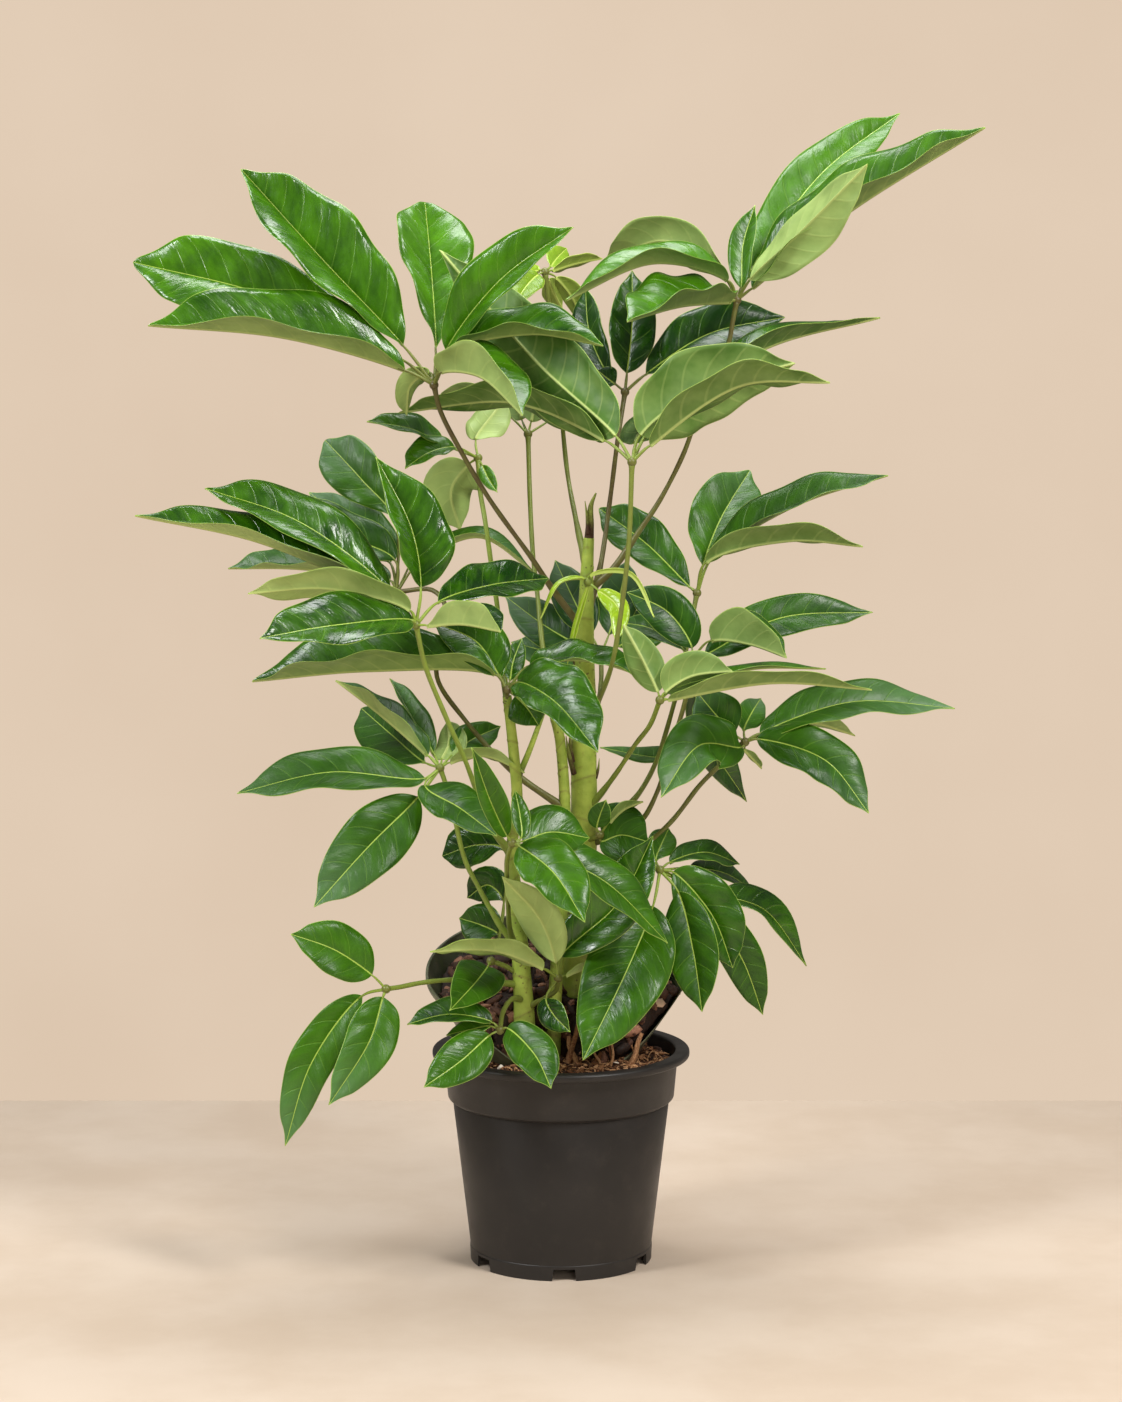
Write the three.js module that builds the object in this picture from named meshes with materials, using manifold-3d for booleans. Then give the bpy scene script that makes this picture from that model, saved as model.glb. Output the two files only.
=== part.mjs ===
// A potted umbrella plant: palmate fronds of glossy leaflets on three stems, rooted in a nursery pot.
// Millimetres, +Z up. The origin is on the floor, on the pot's axis. The viewer stands on the -Y side.
import * as THREE from "three";
import { mergeVertices } from "three/addons/utils/BufferGeometryUtils.js";
import Module from "manifold-3d";

const wasm = await Module();
wasm.setup();

// ---- The front view that the plant is laid out on ----
// Places are given as [x, h] on a full-size sheet square to the line of sight, which passes through the
// pot's axis: x is right of the axis, and h is above the pot's front foot. A third number, y, is how far
// behind the axis the point really lies. seen() turns such a place into a point of the part.
const EYE_DISTANCE = 3425;
const EYE_HEIGHT = 975;
const SIGHT_TILT = THREE.MathUtils.degToRad(6.75);
const SHEET_CENTRE_H = 581;
const EYE = new THREE.Vector3(0, -EYE_DISTANCE, EYE_HEIGHT);

// ---- Driving dimensions ----
const GAP = 0.3; // between pieces that touch
const SPREAD = 1.5; // how much deeper a frond reaches, from its petiole's foot, than its table says
const POT = {
  height: 217,
  rimRadius: 130,
  rimHeight: 8,
  rimRound: 2.5,
  collarTop: 118,
  collarBottom: 114.5,
  collarHeight: 50,
  stepHeight: 4,
  bodyTop: 109.5,
  footRadius: 92,
  footLine: 0.5, // how far the line round the foot stands out
  wall: 2.5,
  floorHeight: 14,
  floorThickness: 4,
  padRadius: 22, // the round pad under the middle of the floor, which the pot rests on with its foot
  facets: 32,
};
const NOTCH = { count: 6, width: 27, height: 12, depth: 40, firstAngle: 2 };
const SOIL = { top: 203, mound: 9, relief: 3.5, waveLength: 11, rings: 3 };
const LINER = {
  rimCentre: [-4, 8, 294],
  lean: 17,
  rimRadius: 133,
  depth: 92,
  bottomRadius: 80,
  wall: 2.4,
  lip: 3, // how far the rim stands out past the wall
  lipHeight: 5,
  facets: 24,
  frontLeft: [-150, -92], // two points of the line where its front is split away
  frontRight: [150, -14],
};
const BARK = {
  belowRim: 13,
  aboveFloor: 6,
  clear: 2,
  crown: 6,
  relief: 7,
  waveLength: 14,
  rings: 3,
  bay: { x: -8, y: -78, radius: 62, sides: 16 },
};
const CUT_LENGTH = 600; // longer than anything that is cut
const STEM_SIDES = 8;
const BUD_SIDES = 6;
const PETIOLE = { sides: 5, radius: 2.4, sheathRadius: 4.2, leastSteps: 3 };
const HUB_RADIUS = 6;
const BLADE_THICKNESS = 1.2;
const PETIOLULE_THICKNESS = 3;
const STALK_END = 0.31; // share of the way from the hub to the tip where the blade starts
// The waves along a blade's edges: their height, their turn from station to station and from blade to
// blade, and the half width below which a blade has none.
const WAVE = { height: 2.2, perStation: 2.3, perLeaflet: 1.7, perFrond: 0.9, leastHalfWidth: 8 };
const SHORT_LEAFLET = 95;
const TINY_LEAFLET = 56;
const NARROW_LEAFLET = 45;
const PEAK = 0.46; // where along a blade it is widest, as a share of its length from the base
const TIP_SHARE = 0.02; // of the half width, at the very tip

// ---- The plant, as it is laid out on the sheet ----
// A stem has points [x, h, y] from its foot up, each with its radius.
const STEMS = {
  stem_main: {
    path: [[12, 180, 0], [14, 282, 0], [20, 380, 0], [23, 472, 0], [23, 560, 0], [24, 642, 0], [26, 708, 0],
      [28, 744, 0]],
    radii: [15, 15, 14.5, 14, 13, 12, 8.2, 5.2],
  },
  stem_slim: {
    path: [[-8, 180, -24], [-6, 282, -24], [1, 382, -23], [4, 472, -22], [-1, 542, -20], [-6, 564, -18]],
    radii: [7, 7, 6.5, 6, 5.5, 5],
  },
  stem_front: {
    path: [[-35, 180, -42], [-38, 290, -42], [-45, 382, -44], [-49, 432, -46], [-44, 482, -50],
      [-47, 527, -54], [-54, 586, -58]],
    radii: [11.5, 11, 9, 7, 5.5, 5.5, 4.5],
  },
};
const BUD = {
  path: [[28, 741, 0], [29, 758, -1], [30, 776, -2], [35, 789, -3]],
  radii: [4.6, 3.8, 2.6, 0.8],
};

// A frond has its hub [x, h, y], its petiole from the hub down to the stem, and its leaflets. Each leaflet
// has its base, middle and tip, how much further back than the hub its tip lies (reach), its width, how far
// its upper face is turned from the viewer about its midrib (roll, which turns the face to the right as
// the leaflet points), how far both halves are folded up (fold), and where it is widest, if not at PEAK.
const FRONDS = {
  frond_upper_left: {
    hub: [-127, 897, -40],
    petiole: [[-121, 872], [-98, 827], [-71, 782], [-28, 722], [-8, 692], [24, 650]],
    foot: 0,
    leaflets: [
      [[-161, 924], [-293, 986], [-428, 1020], 25, 86, 25, 14, 0.66],
      [[-156, 912], [-276, 945], [-413, 957], -40, 100, 60, 45, 0.5],
      [[-158, 937], [-236, 1020], [-320, 1113], 30, 102, 34, 34, 0.52],
      [[-125, 932], [-129, 1004], [-136, 1080], 90, 88, 24, 24, 0.7],
      [[-115, 932], [-61, 1002], [12, 1055], -30, 66, -35, 32, 0.5],
      [[-106, 932], [-31, 949], [42, 937], -45, 70, -70, 35],
      [[-121, 910], [-82, 907], [-38, 867], -90, 74, -80, 50, 0.5],
      [[-131, 910], [-151, 897], [-155, 867], 20, 34, 130, 10],
    ],
  },
  frond_front_top: {
    hub: [71, 820, -110],
    petiole: [[68, 742, -106], [61, 677, -96], [52, 622, -80], [42, 592, -58], [25, 560, 0]],
    foot: 0,
    leaflets: [
      [[44, 842], [-46, 880], [-162, 870], 115, 70, 115, 8],
      [[55, 846], [-21, 917], [-121, 1032], 112, 80, 160, 10],
      [[79, 847], [139, 892], [234, 919], 30, 84, -155, 10],
      [[89, 837], [179, 897], [269, 900], -30, 66, -115, 15],
      [[89, 852], [199, 932], [319, 965], 120, 60, -80, 30],
      [[74, 838], [82, 856], [94, 880], 100, 44, 150, 10],
    ],
  },
  frond_top_right: {
    hub: [176, 982, 10],
    petiole: [
      [172, 962], [167, 937], [135, 862], [122, 827], [99, 782], [79, 752], [51, 712, 0], [28, 692, 3],
    ],
    foot: 0,
    leaflets: [
      [[191, 994], [287, 1070], [424, 1155], -20, 90, -64, 40, 0.5],
      [[184, 1002], [259, 1107], [339, 1169], 110, 62, -30, 15],
      [[189, 1002], [239, 1049], [307, 1118], -60, 60, 152, 28, 0.5],
      [[180, 994], [182, 1037], [194, 1077], 20, 30, -20, 25],
      [[167, 1002], [94, 1020], [4, 982], -30, 66, 80, 30],
      [[164, 1004], [104, 1042], [44, 1020], 60, 62, 135, 10, 0.55],
      [[170, 981], [122, 977], [66, 961], -80, 88, 74, 34, 0.5],
    ],
  },
  frond_crown_young: {
    hub: [-16, 1010, 110],
    petiole: [[-8, 942, 114], [-1, 882, 112], [6, 812, 100], [14, 767, 66], [25, 716, 4]],
    foot: 0,
    leaflets: [
      [[-9, 1012], [14, 1019], [41, 1024], 40, 26, -120, 10],
      [[-22, 1008], [-33, 998], [-46, 979], -30, 32, 20, 14],
      [[-13, 1003], [-8, 990], [1, 973], 30, 24, 160, 10],
      [[-5, 1005], [12, 984], [26, 949], 20, 30, -140, 10],
      [[-10, 1016], [-4, 1024], [6, 1034], 60, 26, 0, 10],
      [[-22, 1012], [-34, 1007], [-48, 990], 20, 24, 60, 10],
    ],
  },
  frond_back_slim: {
    hub: [-33, 848, 50],
    petiole: [[-31, 782], [-28, 727], [-23, 682], [-18, 632], [-6, 560]],
    foot: -18,
    leaflets: [
      [[-53, 867], [-85, 884], [-125, 884], 60, 44, 120, 10],
      [[-39, 862], [-46, 897], [-61, 937], 90, 44, 170, 10],
      [[-30, 860], [-21, 902], [-13, 942], 30, 44, -170, 10],
      [[-11, 862], [24, 887], [44, 922], 40, 44, -150, 10],
    ],
  },
  frond_back_dark: {
    hub: [64, 890, 40],
    petiole: [[56, 837], [49, 782, 34], [39, 714, 20], [27, 670, 2]],
    foot: 0,
    leaflets: [
      [[66, 909], [71, 957], [71, 1012], 20, 50, 10, 12],
      [[50, 903], [29, 947], [24, 997], 40, 40, -30, 12],
      [[54, 898], [46, 904], [36, 912], 10, 26, 0, 10],
      [[85, 908], [147, 948], [224, 965], 30, 62, -30, 15, 0.52],
    ],
  },
  frond_small_left: {
    hub: [-83, 824, 5],
    petiole: [[-81, 792], [-76, 762], [-69, 712, -22], [-62, 662, -28], [-58, 612, -28], [-52, 568, -56]],
    foot: -57,
    leaflets: [
      [[-116, 837], [-149, 853], [-194, 861], -20, 40, 60, 20],
      [[-106, 835], [-131, 830], [-156, 814], -35, 40, 50, 20],
      [[-85, 842], [-72, 862], [-56, 882], 40, 44, 150, 10],
      [[-92, 818], [-110, 792], [-101, 752], 20, 58, 165, 14],
      [[-79, 817], [-73, 804], [-64, 790], -20, 16, 0, 10],
    ],
  },
  frond_mid_left_back: {
    hub: [-164, 690, 20],
    petiole: [[-129, 692], [-116, 677], [-120, 640], [-124, 605], [-96, 562], [-50, 512], [3, 474]],
    foot: -22,
    leaflets: [
      [[-166, 762], [-199, 802], [-236, 842], 60, 58, 0, 10, 0.66],
      [[-166, 722], [-236, 752], [-319, 792], 10, 62, 35, 12],
      [[-171, 720], [-206, 752], [-252, 790], 60, 66, 30, 12],
      [[-171, 702], [-261, 714], [-333, 714], 40, 60, 65, 35],
      [[-149, 722], [-126, 772], [-99, 814], 60, 34, 30, 12],
      [[-140, 722], [-82, 746], [-26, 710], 0, 34, -75, 25],
    ],
  },
  frond_mid_left: {
    hub: [-145, 657, -125],
    petiole: [[-136, 617], [-116, 567, -95], [-96, 522, -76], [-81, 482, -60], [-68, 452, -52], [-49, 428]],
    foot: -46,
    leaflets: [
      [[-140, 695], [-149, 752], [-185, 825], 20, 74, 32, 32, 0.42],
      [[-171, 692], [-261, 760], [-356, 794], 10, 70, 50, 15, 0.5],
      [[-176, 684], [-296, 739], [-426, 767], -10, 66, 68, 35],
      [[-151, 672], [-231, 694], [-313, 689], -20, 56, 125, 8],
      [[-149, 662], [-226, 657], [-301, 644], -70, 70, 45, 15],
      [[-134, 657], [-100, 659], [-60, 651], -60, 52, -92, 58, 0.68],
      [[-123, 680], [-71, 697], [-12, 704], 90, 56, -45, 15, 0.55],
    ],
  },
  frond_back_middle: {
    hub: [40, 628, 50],
    petiole: [[40, 600, 36], [34, 565, 14], [24, 548, 0]],
    foot: 0,
    leaflets: [
      [[20, 636], [-14, 655], [-56, 686], 30, 50, 20, 10],
      [[30, 648], [12, 684], [-6, 722], 30, 46, 10, 10],
      [[48, 648], [58, 684], [66, 722], 30, 44, -10, 10],
      [[58, 636], [84, 652], [116, 668], 20, 46, -20, 10],
      [[22, 626], [-10, 630], [-50, 640], 20, 44, 30, 10],
    ],
  },
  frond_front_middle: {
    hub: [-54, 592, -64],
    petiole: [[-54, 588], [-54, 580]],
    foot: -58,
    leaflets: [
      [[-66, 608], [-191, 612], [-309, 601], 20, 90, 64, 48, 0.5],
      [[-62, 607], [-84, 640], [-128, 660], 20, 56, 20, 12],
      [[-60, 605], [-82, 640], [-100, 672], 30, 40, 20, 12],
      [[-44, 600], [-8, 582], [37, 530], -60, 78, -30, 30, 0.5],
      [[-31, 617], [29, 622], [94, 602], 20, 56, -68, 20],
      [[-46, 586], [-34, 574], [-22, 556], -12, 42, 0, 10],
      [[-51, 602], [-48, 620], [-39, 644], 30, 24, 0, 10],
    ],
  },
  tuft_young: {
    hub: [27, 700, -14],
    petiole: [[27, 699], [26, 698]],
    foot: 0,
    leaflets: [
      [[29, 707], [69, 708], [94, 665], -30, 9, -120, 10],
      [[24, 704], [-1, 700], [-21, 664], -25, 8, 60, 10],
      [[37, 692], [57, 674], [55, 639], -30, 22, -10, 10],
      [[27, 697], [15, 657], [6, 617], -2, 7, 20, 10],
    ],
  },
  frond_low_left: {
    hub: [-121, 514, -45],
    petiole: [[-115, 497], [-106, 462], [-96, 422], [-81, 392], [-61, 357], [-41, 330]],
    foot: -43,
    leaflets: [
      [[-136, 504], [-231, 510], [-324, 489], -20, 64, 48, 12],
      [[-143, 485], [-191, 437], [-247, 375], -50, 66, 5, 10],
      [[-136, 497], [-101, 474], [-64, 446], -60, 48, -30, 10],
      [[-119, 522], [-112, 538], [-113, 562], 40, 38, 150, 10],
      [[-108, 528], [-90, 542], [-60, 556], 50, 36, -20, 10],
      [[-133, 527], [-180, 568], [-225, 602], 50, 46, 75, 40],
      [[-128, 530], [-152, 570], [-171, 604], 80, 34, 50, 35],
      [[-137, 520], [-168, 546], [-200, 574], 110, 62, 10, 10, 0.55],
      [[-111, 520], [-76, 527], [-36, 510], -5, 34, -110, 10],
    ],
  },
  frond_front_low: {
    hub: [-49, 439, -105],
    petiole: [[-54, 422], [-53, 382], [-51, 352], [-42, 325]],
    foot: -43,
    leaflets: [
      [[-54, 446], [-71, 482], [-89, 534], -50, 32, 25, 25],
      [[-40, 444], [-41, 467], [-46, 492], 20, 20, 20, 10],
      [[-42, 436], [-8, 410], [24, 360], -45, 60, -25, 10],
      [[-38, 441], [-11, 450], [29, 444], 20, 60, -35, 10],
      [[-36, 436], [42, 402], [107, 339], 10, 56, -45, 12],
    ],
  },
  frond_hanging_left: {
    hub: [-175, 293, -95],
    petiole: [[-161, 295], [-141, 299], [-113, 302], [-76, 301], [-39, 297]],
    foot: -42,
    leaflets: [
      [[-189, 307], [-226, 332], [-270, 348], -20, 56, 20, 12],
      [[-199, 286], [-249, 220], [-276, 136], -10, 46, 10, 10],
      [[-178, 285], [-191, 242], [-232, 177], -40, 52, -10, 10],
    ],
  },
  frond_over_rim: {
    hub: [-61, 252, -100],
    petiole: [[-58, 270], [-49, 283], [-37, 282]],
    foot: -42,
    leaflets: [
      [[-69, 260], [-111, 268], [-154, 258], 0, 40, 50, 20],
      [[-71, 247], [-99, 222], [-137, 195], -30, 46, 10, 10],
      [[-54, 254], [-26, 227], [-10, 194], -45, 44, -10, 10],
      [[-71, 256], [-93, 252], [-115, 247], 5, 24, 40, 10],
    ],
  },
  frond_base: {
    hub: [-3, 304, -60],
    petiole: [[-5, 292], [-16, 284], [-26, 279], [-36, 272]],
    foot: -42,
    leaflets: [
      [[-18, 314], [-66, 332], [-131, 331], -50, 46, 115, 10],
      [[-5, 320], [-21, 363], [-59, 406], -30, 42, 170, 10, 0.45],
      [[0, 325], [57, 379], [92, 446], 5, 62, -10, 25],
      [[4, 307], [24, 314], [42, 314], 20, 22, -110, 10],
      [[-15, 284], [-8, 268], [9, 250], -20, 30, 20, 10],
    ],
  },
  frond_low_right: {
    hub: [99, 412, -20],
    petiole: [[80, 419, -14], [50, 408, -6], [21, 390, 0]],
    foot: 0,
    leaflets: [
      [[92, 376], [66, 312], [22, 222], -60, 86, 5, 10],
      [[117, 390], [132, 332], [141, 270], -30, 54, 10, 10],
      [[112, 410], [151, 367], [172, 314], 0, 62, -10, 10],
      [[129, 392], [179, 327], [202, 267], 30, 44, -10, 10],
      [[158, 388], [204, 372], [246, 316], 50, 44, -50, 20, 0.42],
      [[129, 414], [164, 409], [193, 391], 60, 32, -55, 10],
      [[109, 420], [144, 430], [179, 418], 40, 34, -50, 10],
      [[95, 422], [101, 439], [108, 454], 40, 30, 0, 10],
    ],
  },
  frond_dark_right: {
    hub: [39, 447, -26],
    petiole: [[33, 444], [23, 440]],
    foot: 0,
    leaflets: [
      [[40, 441], [60, 447], [88, 440], -5, 66, -15, 8],
      [[48, 460], [62, 473], [82, 481], 0, 26, -110, 10],
      [[36, 454], [39, 467], [45, 482], -10, 24, 0, 10],
    ],
  },
  frond_right_arch: {
    hub: [184, 540, -30],
    petiole: [[159, 517], [139, 497], [107, 457], [64, 424], [22, 408]],
    foot: 0,
    leaflets: [
      [[199, 549], [289, 580], [394, 574], 30, 60, -50, 12],
      [[196, 543], [264, 522], [308, 469], -30, 56, -30, 10],
      [[181, 535], [139, 537], [100, 485], -50, 62, 25, 10],
      [[173, 548], [156, 566], [136, 590], 5, 52, 0, 10],
      [[183, 552], [190, 568], [200, 584], 50, 30, 0, 10],
      [[201, 547], [249, 560], [294, 547], 60, 34, -120, 10],
      [[184, 534], [191, 525], [201, 514], 20, 16, -120, 10],
      [[139, 527], [94, 525], [39, 535], 110, 36, 60, 10],
    ],
  },
  frond_right_back: {
    hub: [136, 689, 30],
    petiole: [[127, 642], [114, 582], [89, 507], [64, 474], [23, 456]],
    foot: 0,
    leaflets: [
      [[142, 717], [159, 762], [189, 812], 70, 70, 0, 12, 0.55],
      [[151, 724], [234, 777], [327, 807], 10, 56, -60, 30],
      [[145, 720], [229, 742], [302, 736], -30, 52, -115, 20],
      [[129, 695], [87, 737], [38, 774], 35, 54, 25, 12, 0.6],
    ],
  },
  frond_right_small: {
    hub: [129, 620, -30],
    petiole: [[125, 585], [111, 537], [97, 492], [79, 460], [50, 444], [22, 438]],
    foot: 0,
    leaflets: [
      [[150, 642], [188, 639], [226, 625], -40, 66, -92, 66, 0.4],
      [[144, 627], [219, 664], [312, 670], 20, 48, -30, 12],
      [[131, 634], [107, 670], [66, 690], 10, 46, 10, 10],
      [[124, 632], [89, 654], [57, 660], 40, 30, 40, 10],
      [[132, 600], [146, 545], [186, 480], 110, 44, -30, 10],
    ],
  },
  frond_right_front: {
    hub: [99, 582, -80],
    petiole: [[89, 557], [74, 537], [54, 507], [24, 468]],
    foot: 0,
    leaflets: [
      [[97, 590], [82, 622], [62, 658], 10, 36, 165, 10],
      [[104, 590], [130, 606], [172, 611], 0, 52, -150, 10],
      [[107, 583], [209, 600], [311, 593], -10, 50, -105, 15],
      [[111, 592], [189, 614], [265, 614], 40, 36, -80, 10],
    ],
  },
  frond_low_back: {
    hub: [-62, 340, -12],
    petiole: [[-54, 334], [-42, 326]],
    foot: -43,
    leaflets: [
      [[-58, 382], [-73, 397], [-94, 384], 20, 40, 0, 10],
      [[-63, 348], [-80, 357], [-102, 364], 15, 46, 0, 10],
      [[-57, 432], [-84, 437], [-119, 426], 30, 50, 20, 10, 0.6],
    ],
  },
  leaf_front_left: {
    hub: [-70, 321, -52],
    petiole: [[-56, 316], [-39, 306]],
    foot: -42,
    leaflets: [
      [[-73, 316], [-86, 299], [-111, 272], -84, 50, 10, 10, 0.38],
    ],
  },
};

// ---- Colours ----
const LEAF = { color: 0x2f6b22, roughness: 0.35, metalness: 0 };
const YOUNG_LEAF = { color: 0x8fb63c, roughness: 0.4, metalness: 0 };
const STEM = { color: 0x9aa556, roughness: 0.6, metalness: 0 };
const POT_PLASTIC = { color: 0x3a3735, roughness: 0.55, metalness: 0 };
const LINER_PLASTIC = { color: 0x23281f, roughness: 0.6, metalness: 0 };
const SOIL_FIBRE = { color: 0x4a2c1b, roughness: 0.95, metalness: 0 };
const BARK_CHIPS = { color: 0x5e3d2a, roughness: 0.95, metalness: 0 };

const plant = new THREE.Group();
plant.name = "umbrella_plant";

// ---- Solids ----
function solidOf(geometry) {
  const bare = geometry.index ? geometry.toNonIndexed() : geometry.clone();
  bare.deleteAttribute("normal");
  bare.deleteAttribute("uv");
  const merged = mergeVertices(bare, 1e-4);
  return new wasm.Manifold(new wasm.Mesh({
    numProp: 3,
    vertProperties: merged.attributes.position.array,
    triVerts: new Uint32Array(merged.index.array),
  }));
}

function largestBody(solid) {
  return solid.decompose().sort((a, b) => b.volume() - a.volume())[0];
}

function addPiece(name, solid, finish) {
  const mesh = solid.getMesh();
  const geometry = new THREE.BufferGeometry();
  geometry.setAttribute("position", new THREE.BufferAttribute(mesh.vertProperties, 3));
  geometry.setIndex(new THREE.BufferAttribute(mesh.triVerts, 1));
  geometry.computeVertexNormals();
  const piece = new THREE.Mesh(geometry, new THREE.MeshStandardMaterial(finish));
  piece.name = name;
  plant.add(piece);
}

function lathe(profile, facets) {
  const points = profile.map(([radius, z]) => new THREE.Vector2(radius, z));
  return new THREE.LatheGeometry(points, facets).rotateX(Math.PI / 2);
}

// The point of the part that lies at [x, h] on the sheet and y behind the axis.
function seen(x, h, y) {
  const sheetDistance = EYE_DISTANCE / Math.cos(SIGHT_TILT);
  const across = x / sheetDistance;
  const up = (h - SHEET_CENTRE_H) / sheetDistance;
  const ahead = Math.cos(SIGHT_TILT) + up * Math.sin(SIGHT_TILT);
  const rise = -Math.sin(SIGHT_TILT) + up * Math.cos(SIGHT_TILT);
  const run = (y + EYE_DISTANCE) / ahead;
  return new THREE.Vector3(run * across, y, EYE_HEIGHT + run * rise);
}

// A closed tube along a curve: a cylinder bent to the curve, with its radius changing on the way.
function bentCylinder(curve, radii, sides, steps) {
  const tube = new THREE.CylinderGeometry(1, 1, 1, sides, steps);
  const frames = curve.computeFrenetFrames(steps, false);
  const position = tube.getAttribute("position");
  for (let i = 0; i < position.count; i++) {
    const ring = Math.round((position.getY(i) + 0.5) * steps);
    const place = (ring / steps) * (radii.length - 1);
    const before = Math.min(Math.floor(place), radii.length - 2);
    const radius = THREE.MathUtils.lerp(radii[before], radii[before + 1], place - before);
    const point = curve.getPointAt(ring / steps);
    point.addScaledVector(frames.binormals[ring], position.getX(i) * radius);
    point.addScaledVector(frames.normals[ring], position.getZ(i) * radius);
    position.setXYZ(i, point.x, point.y, point.z);
  }
  return tube;
}

// ---- Leaflets ----
// The way that the upper face looks, at a point of the midrib that runs along the direction.
function upperFace(point, direction, roll) {
  const toViewer = EYE.clone().sub(point).normalize();
  const facing = toViewer.addScaledVector(direction, -toViewer.dot(direction)).normalize();
  return facing.applyAxisAngle(direction, THREE.MathUtils.degToRad(roll));
}

// One closed blade with its stalk, from the hub to the tip. Each station has three points across, and
// both faces are split into triangles alike.
// The share of its half width that a blade has at a share of the way from its base to its tip. The
// nearer the tip its widest place is, the blunter it ends.
function bladeShare(way, peak) {
  const tipPower = 1.4 - 1.2 * peak;
  const basePower = (tipPower * peak) / (1 - peak);
  return (way / peak) ** basePower * ((1 - way) / (1 - peak)) ** tipPower;
}

function leafletGeometry(hub, leaflet, phase) {
  const [base, middle, tip, reach, width, roll, fold, peak = PEAK] = leaflet;
  const stalkRun = Math.hypot(base[0] - hub[0], base[1] - hub[1]);
  const halfRun = Math.hypot(middle[0] - base[0], middle[1] - base[1]);
  const tipRun = Math.hypot(tip[0] - middle[0], tip[1] - middle[1]);
  const wholeRun = stalkRun + halfRun + tipRun;
  const midrib = new THREE.CatmullRomCurve3([
    seen(...hub),
    seen(...base, hub[2] + (reach * stalkRun) / wholeRun),
    seen(...middle, hub[2] + (reach * (stalkRun + halfRun)) / wholeRun),
    seen(...tip, hub[2] + reach),
  ]);
  const small = halfRun + tipRun < SHORT_LEAFLET || width < NARROW_LEAFLET;
  const nearTip = (share) => 1 - share * (1 - peak);
  let ways = small ? [0.6 * peak, nearTip(0.6)] : [0.4 * peak, peak, nearTip(0.42)];
  if (halfRun + tipRun < TINY_LEAFLET) ways = [peak];
  const stations = [
    [0, PETIOLULE_THICKNESS / 4, PETIOLULE_THICKNESS / 2],
    [STALK_END, PETIOLULE_THICKNESS / 2, PETIOLULE_THICKNESS],
  ];
  for (const way of ways) {
    stations.push([(1 + 2 * way) / 3, (bladeShare(way, peak) * width) / 2, BLADE_THICKNESS]);
  }
  stations.push([1, (TIP_SHARE * width) / 2, BLADE_THICKNESS]);
  const lift = Math.sin(THREE.MathUtils.degToRad(fold));
  const spread = Math.cos(THREE.MathUtils.degToRad(fold));
  const points = [];
  stations.forEach(([way, halfWidth, thickness], i) => {
    const centre = midrib.getPoint(way);
    const along = midrib.getTangent(way);
    const up = upperFace(centre, along, roll);
    const side = new THREE.Vector3().crossVectors(along, up);
    for (const across of [-1, 0, 1]) {
      const turn = phase + WAVE.perStation * i + across;
      const wave = halfWidth > WAVE.leastHalfWidth ? WAVE.height * across * Math.sin(turn) : 0;
      const point = centre.clone();
      point.addScaledVector(side, across * halfWidth * spread);
      point.addScaledVector(up, Math.abs(across) * halfWidth * lift + wave);
      points.push(point.clone().addScaledVector(up, thickness / 2));
      points.push(point.addScaledVector(up, -thickness / 2));
    }
  });
  const faces = [];
  const quad = (a, b, c, d) => faces.push(a, b, c, a, c, d);
  const last = stations.length - 1;
  for (let i = 0; i < last; i++) {
    const here = 6 * i;
    const next = here + 6;
    for (const across of [0, 2]) {
      const [near, far] = [here + across, next + across];
      quad(near, near + 2, far + 2, far);
      faces.push(near + 1, far + 3, near + 3, near + 1, far + 1, far + 3);
    }
    quad(here, next, next + 1, here + 1);
    quad(here + 5, next + 5, next + 4, here + 4);
  }
  for (const across of [0, 2]) {
    quad(across, across + 1, across + 3, across + 2);
    const end = 6 * last + across;
    quad(end, end + 2, end + 3, end + 1);
  }
  const geometry = new THREE.BufferGeometry().setFromPoints(points);
  geometry.setIndex(faces);
  return geometry;
}

// ---- Stems ----
function stemSolid(stem, extra) {
  const curve = new THREE.CatmullRomCurve3(stem.path.map((place) => seen(...place)));
  const radii = stem.radii.map((radius) => radius + extra);
  return solidOf(bentCylinder(curve, radii, STEM_SIDES, stem.path.length + 2));
}

function stemPieces() {
  for (const [name, stem] of Object.entries(STEMS)) {
    let solid = stemSolid(stem, 0);
    if (name === "stem_main") {
      const curve = new THREE.CatmullRomCurve3(BUD.path.map((place) => seen(...place)));
      solid = solid.add(solidOf(bentCylinder(curve, BUD.radii, BUD_SIDES, BUD.path.length + 2)));
    }
    addPiece(name, solid, STEM);
  }
}

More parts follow.
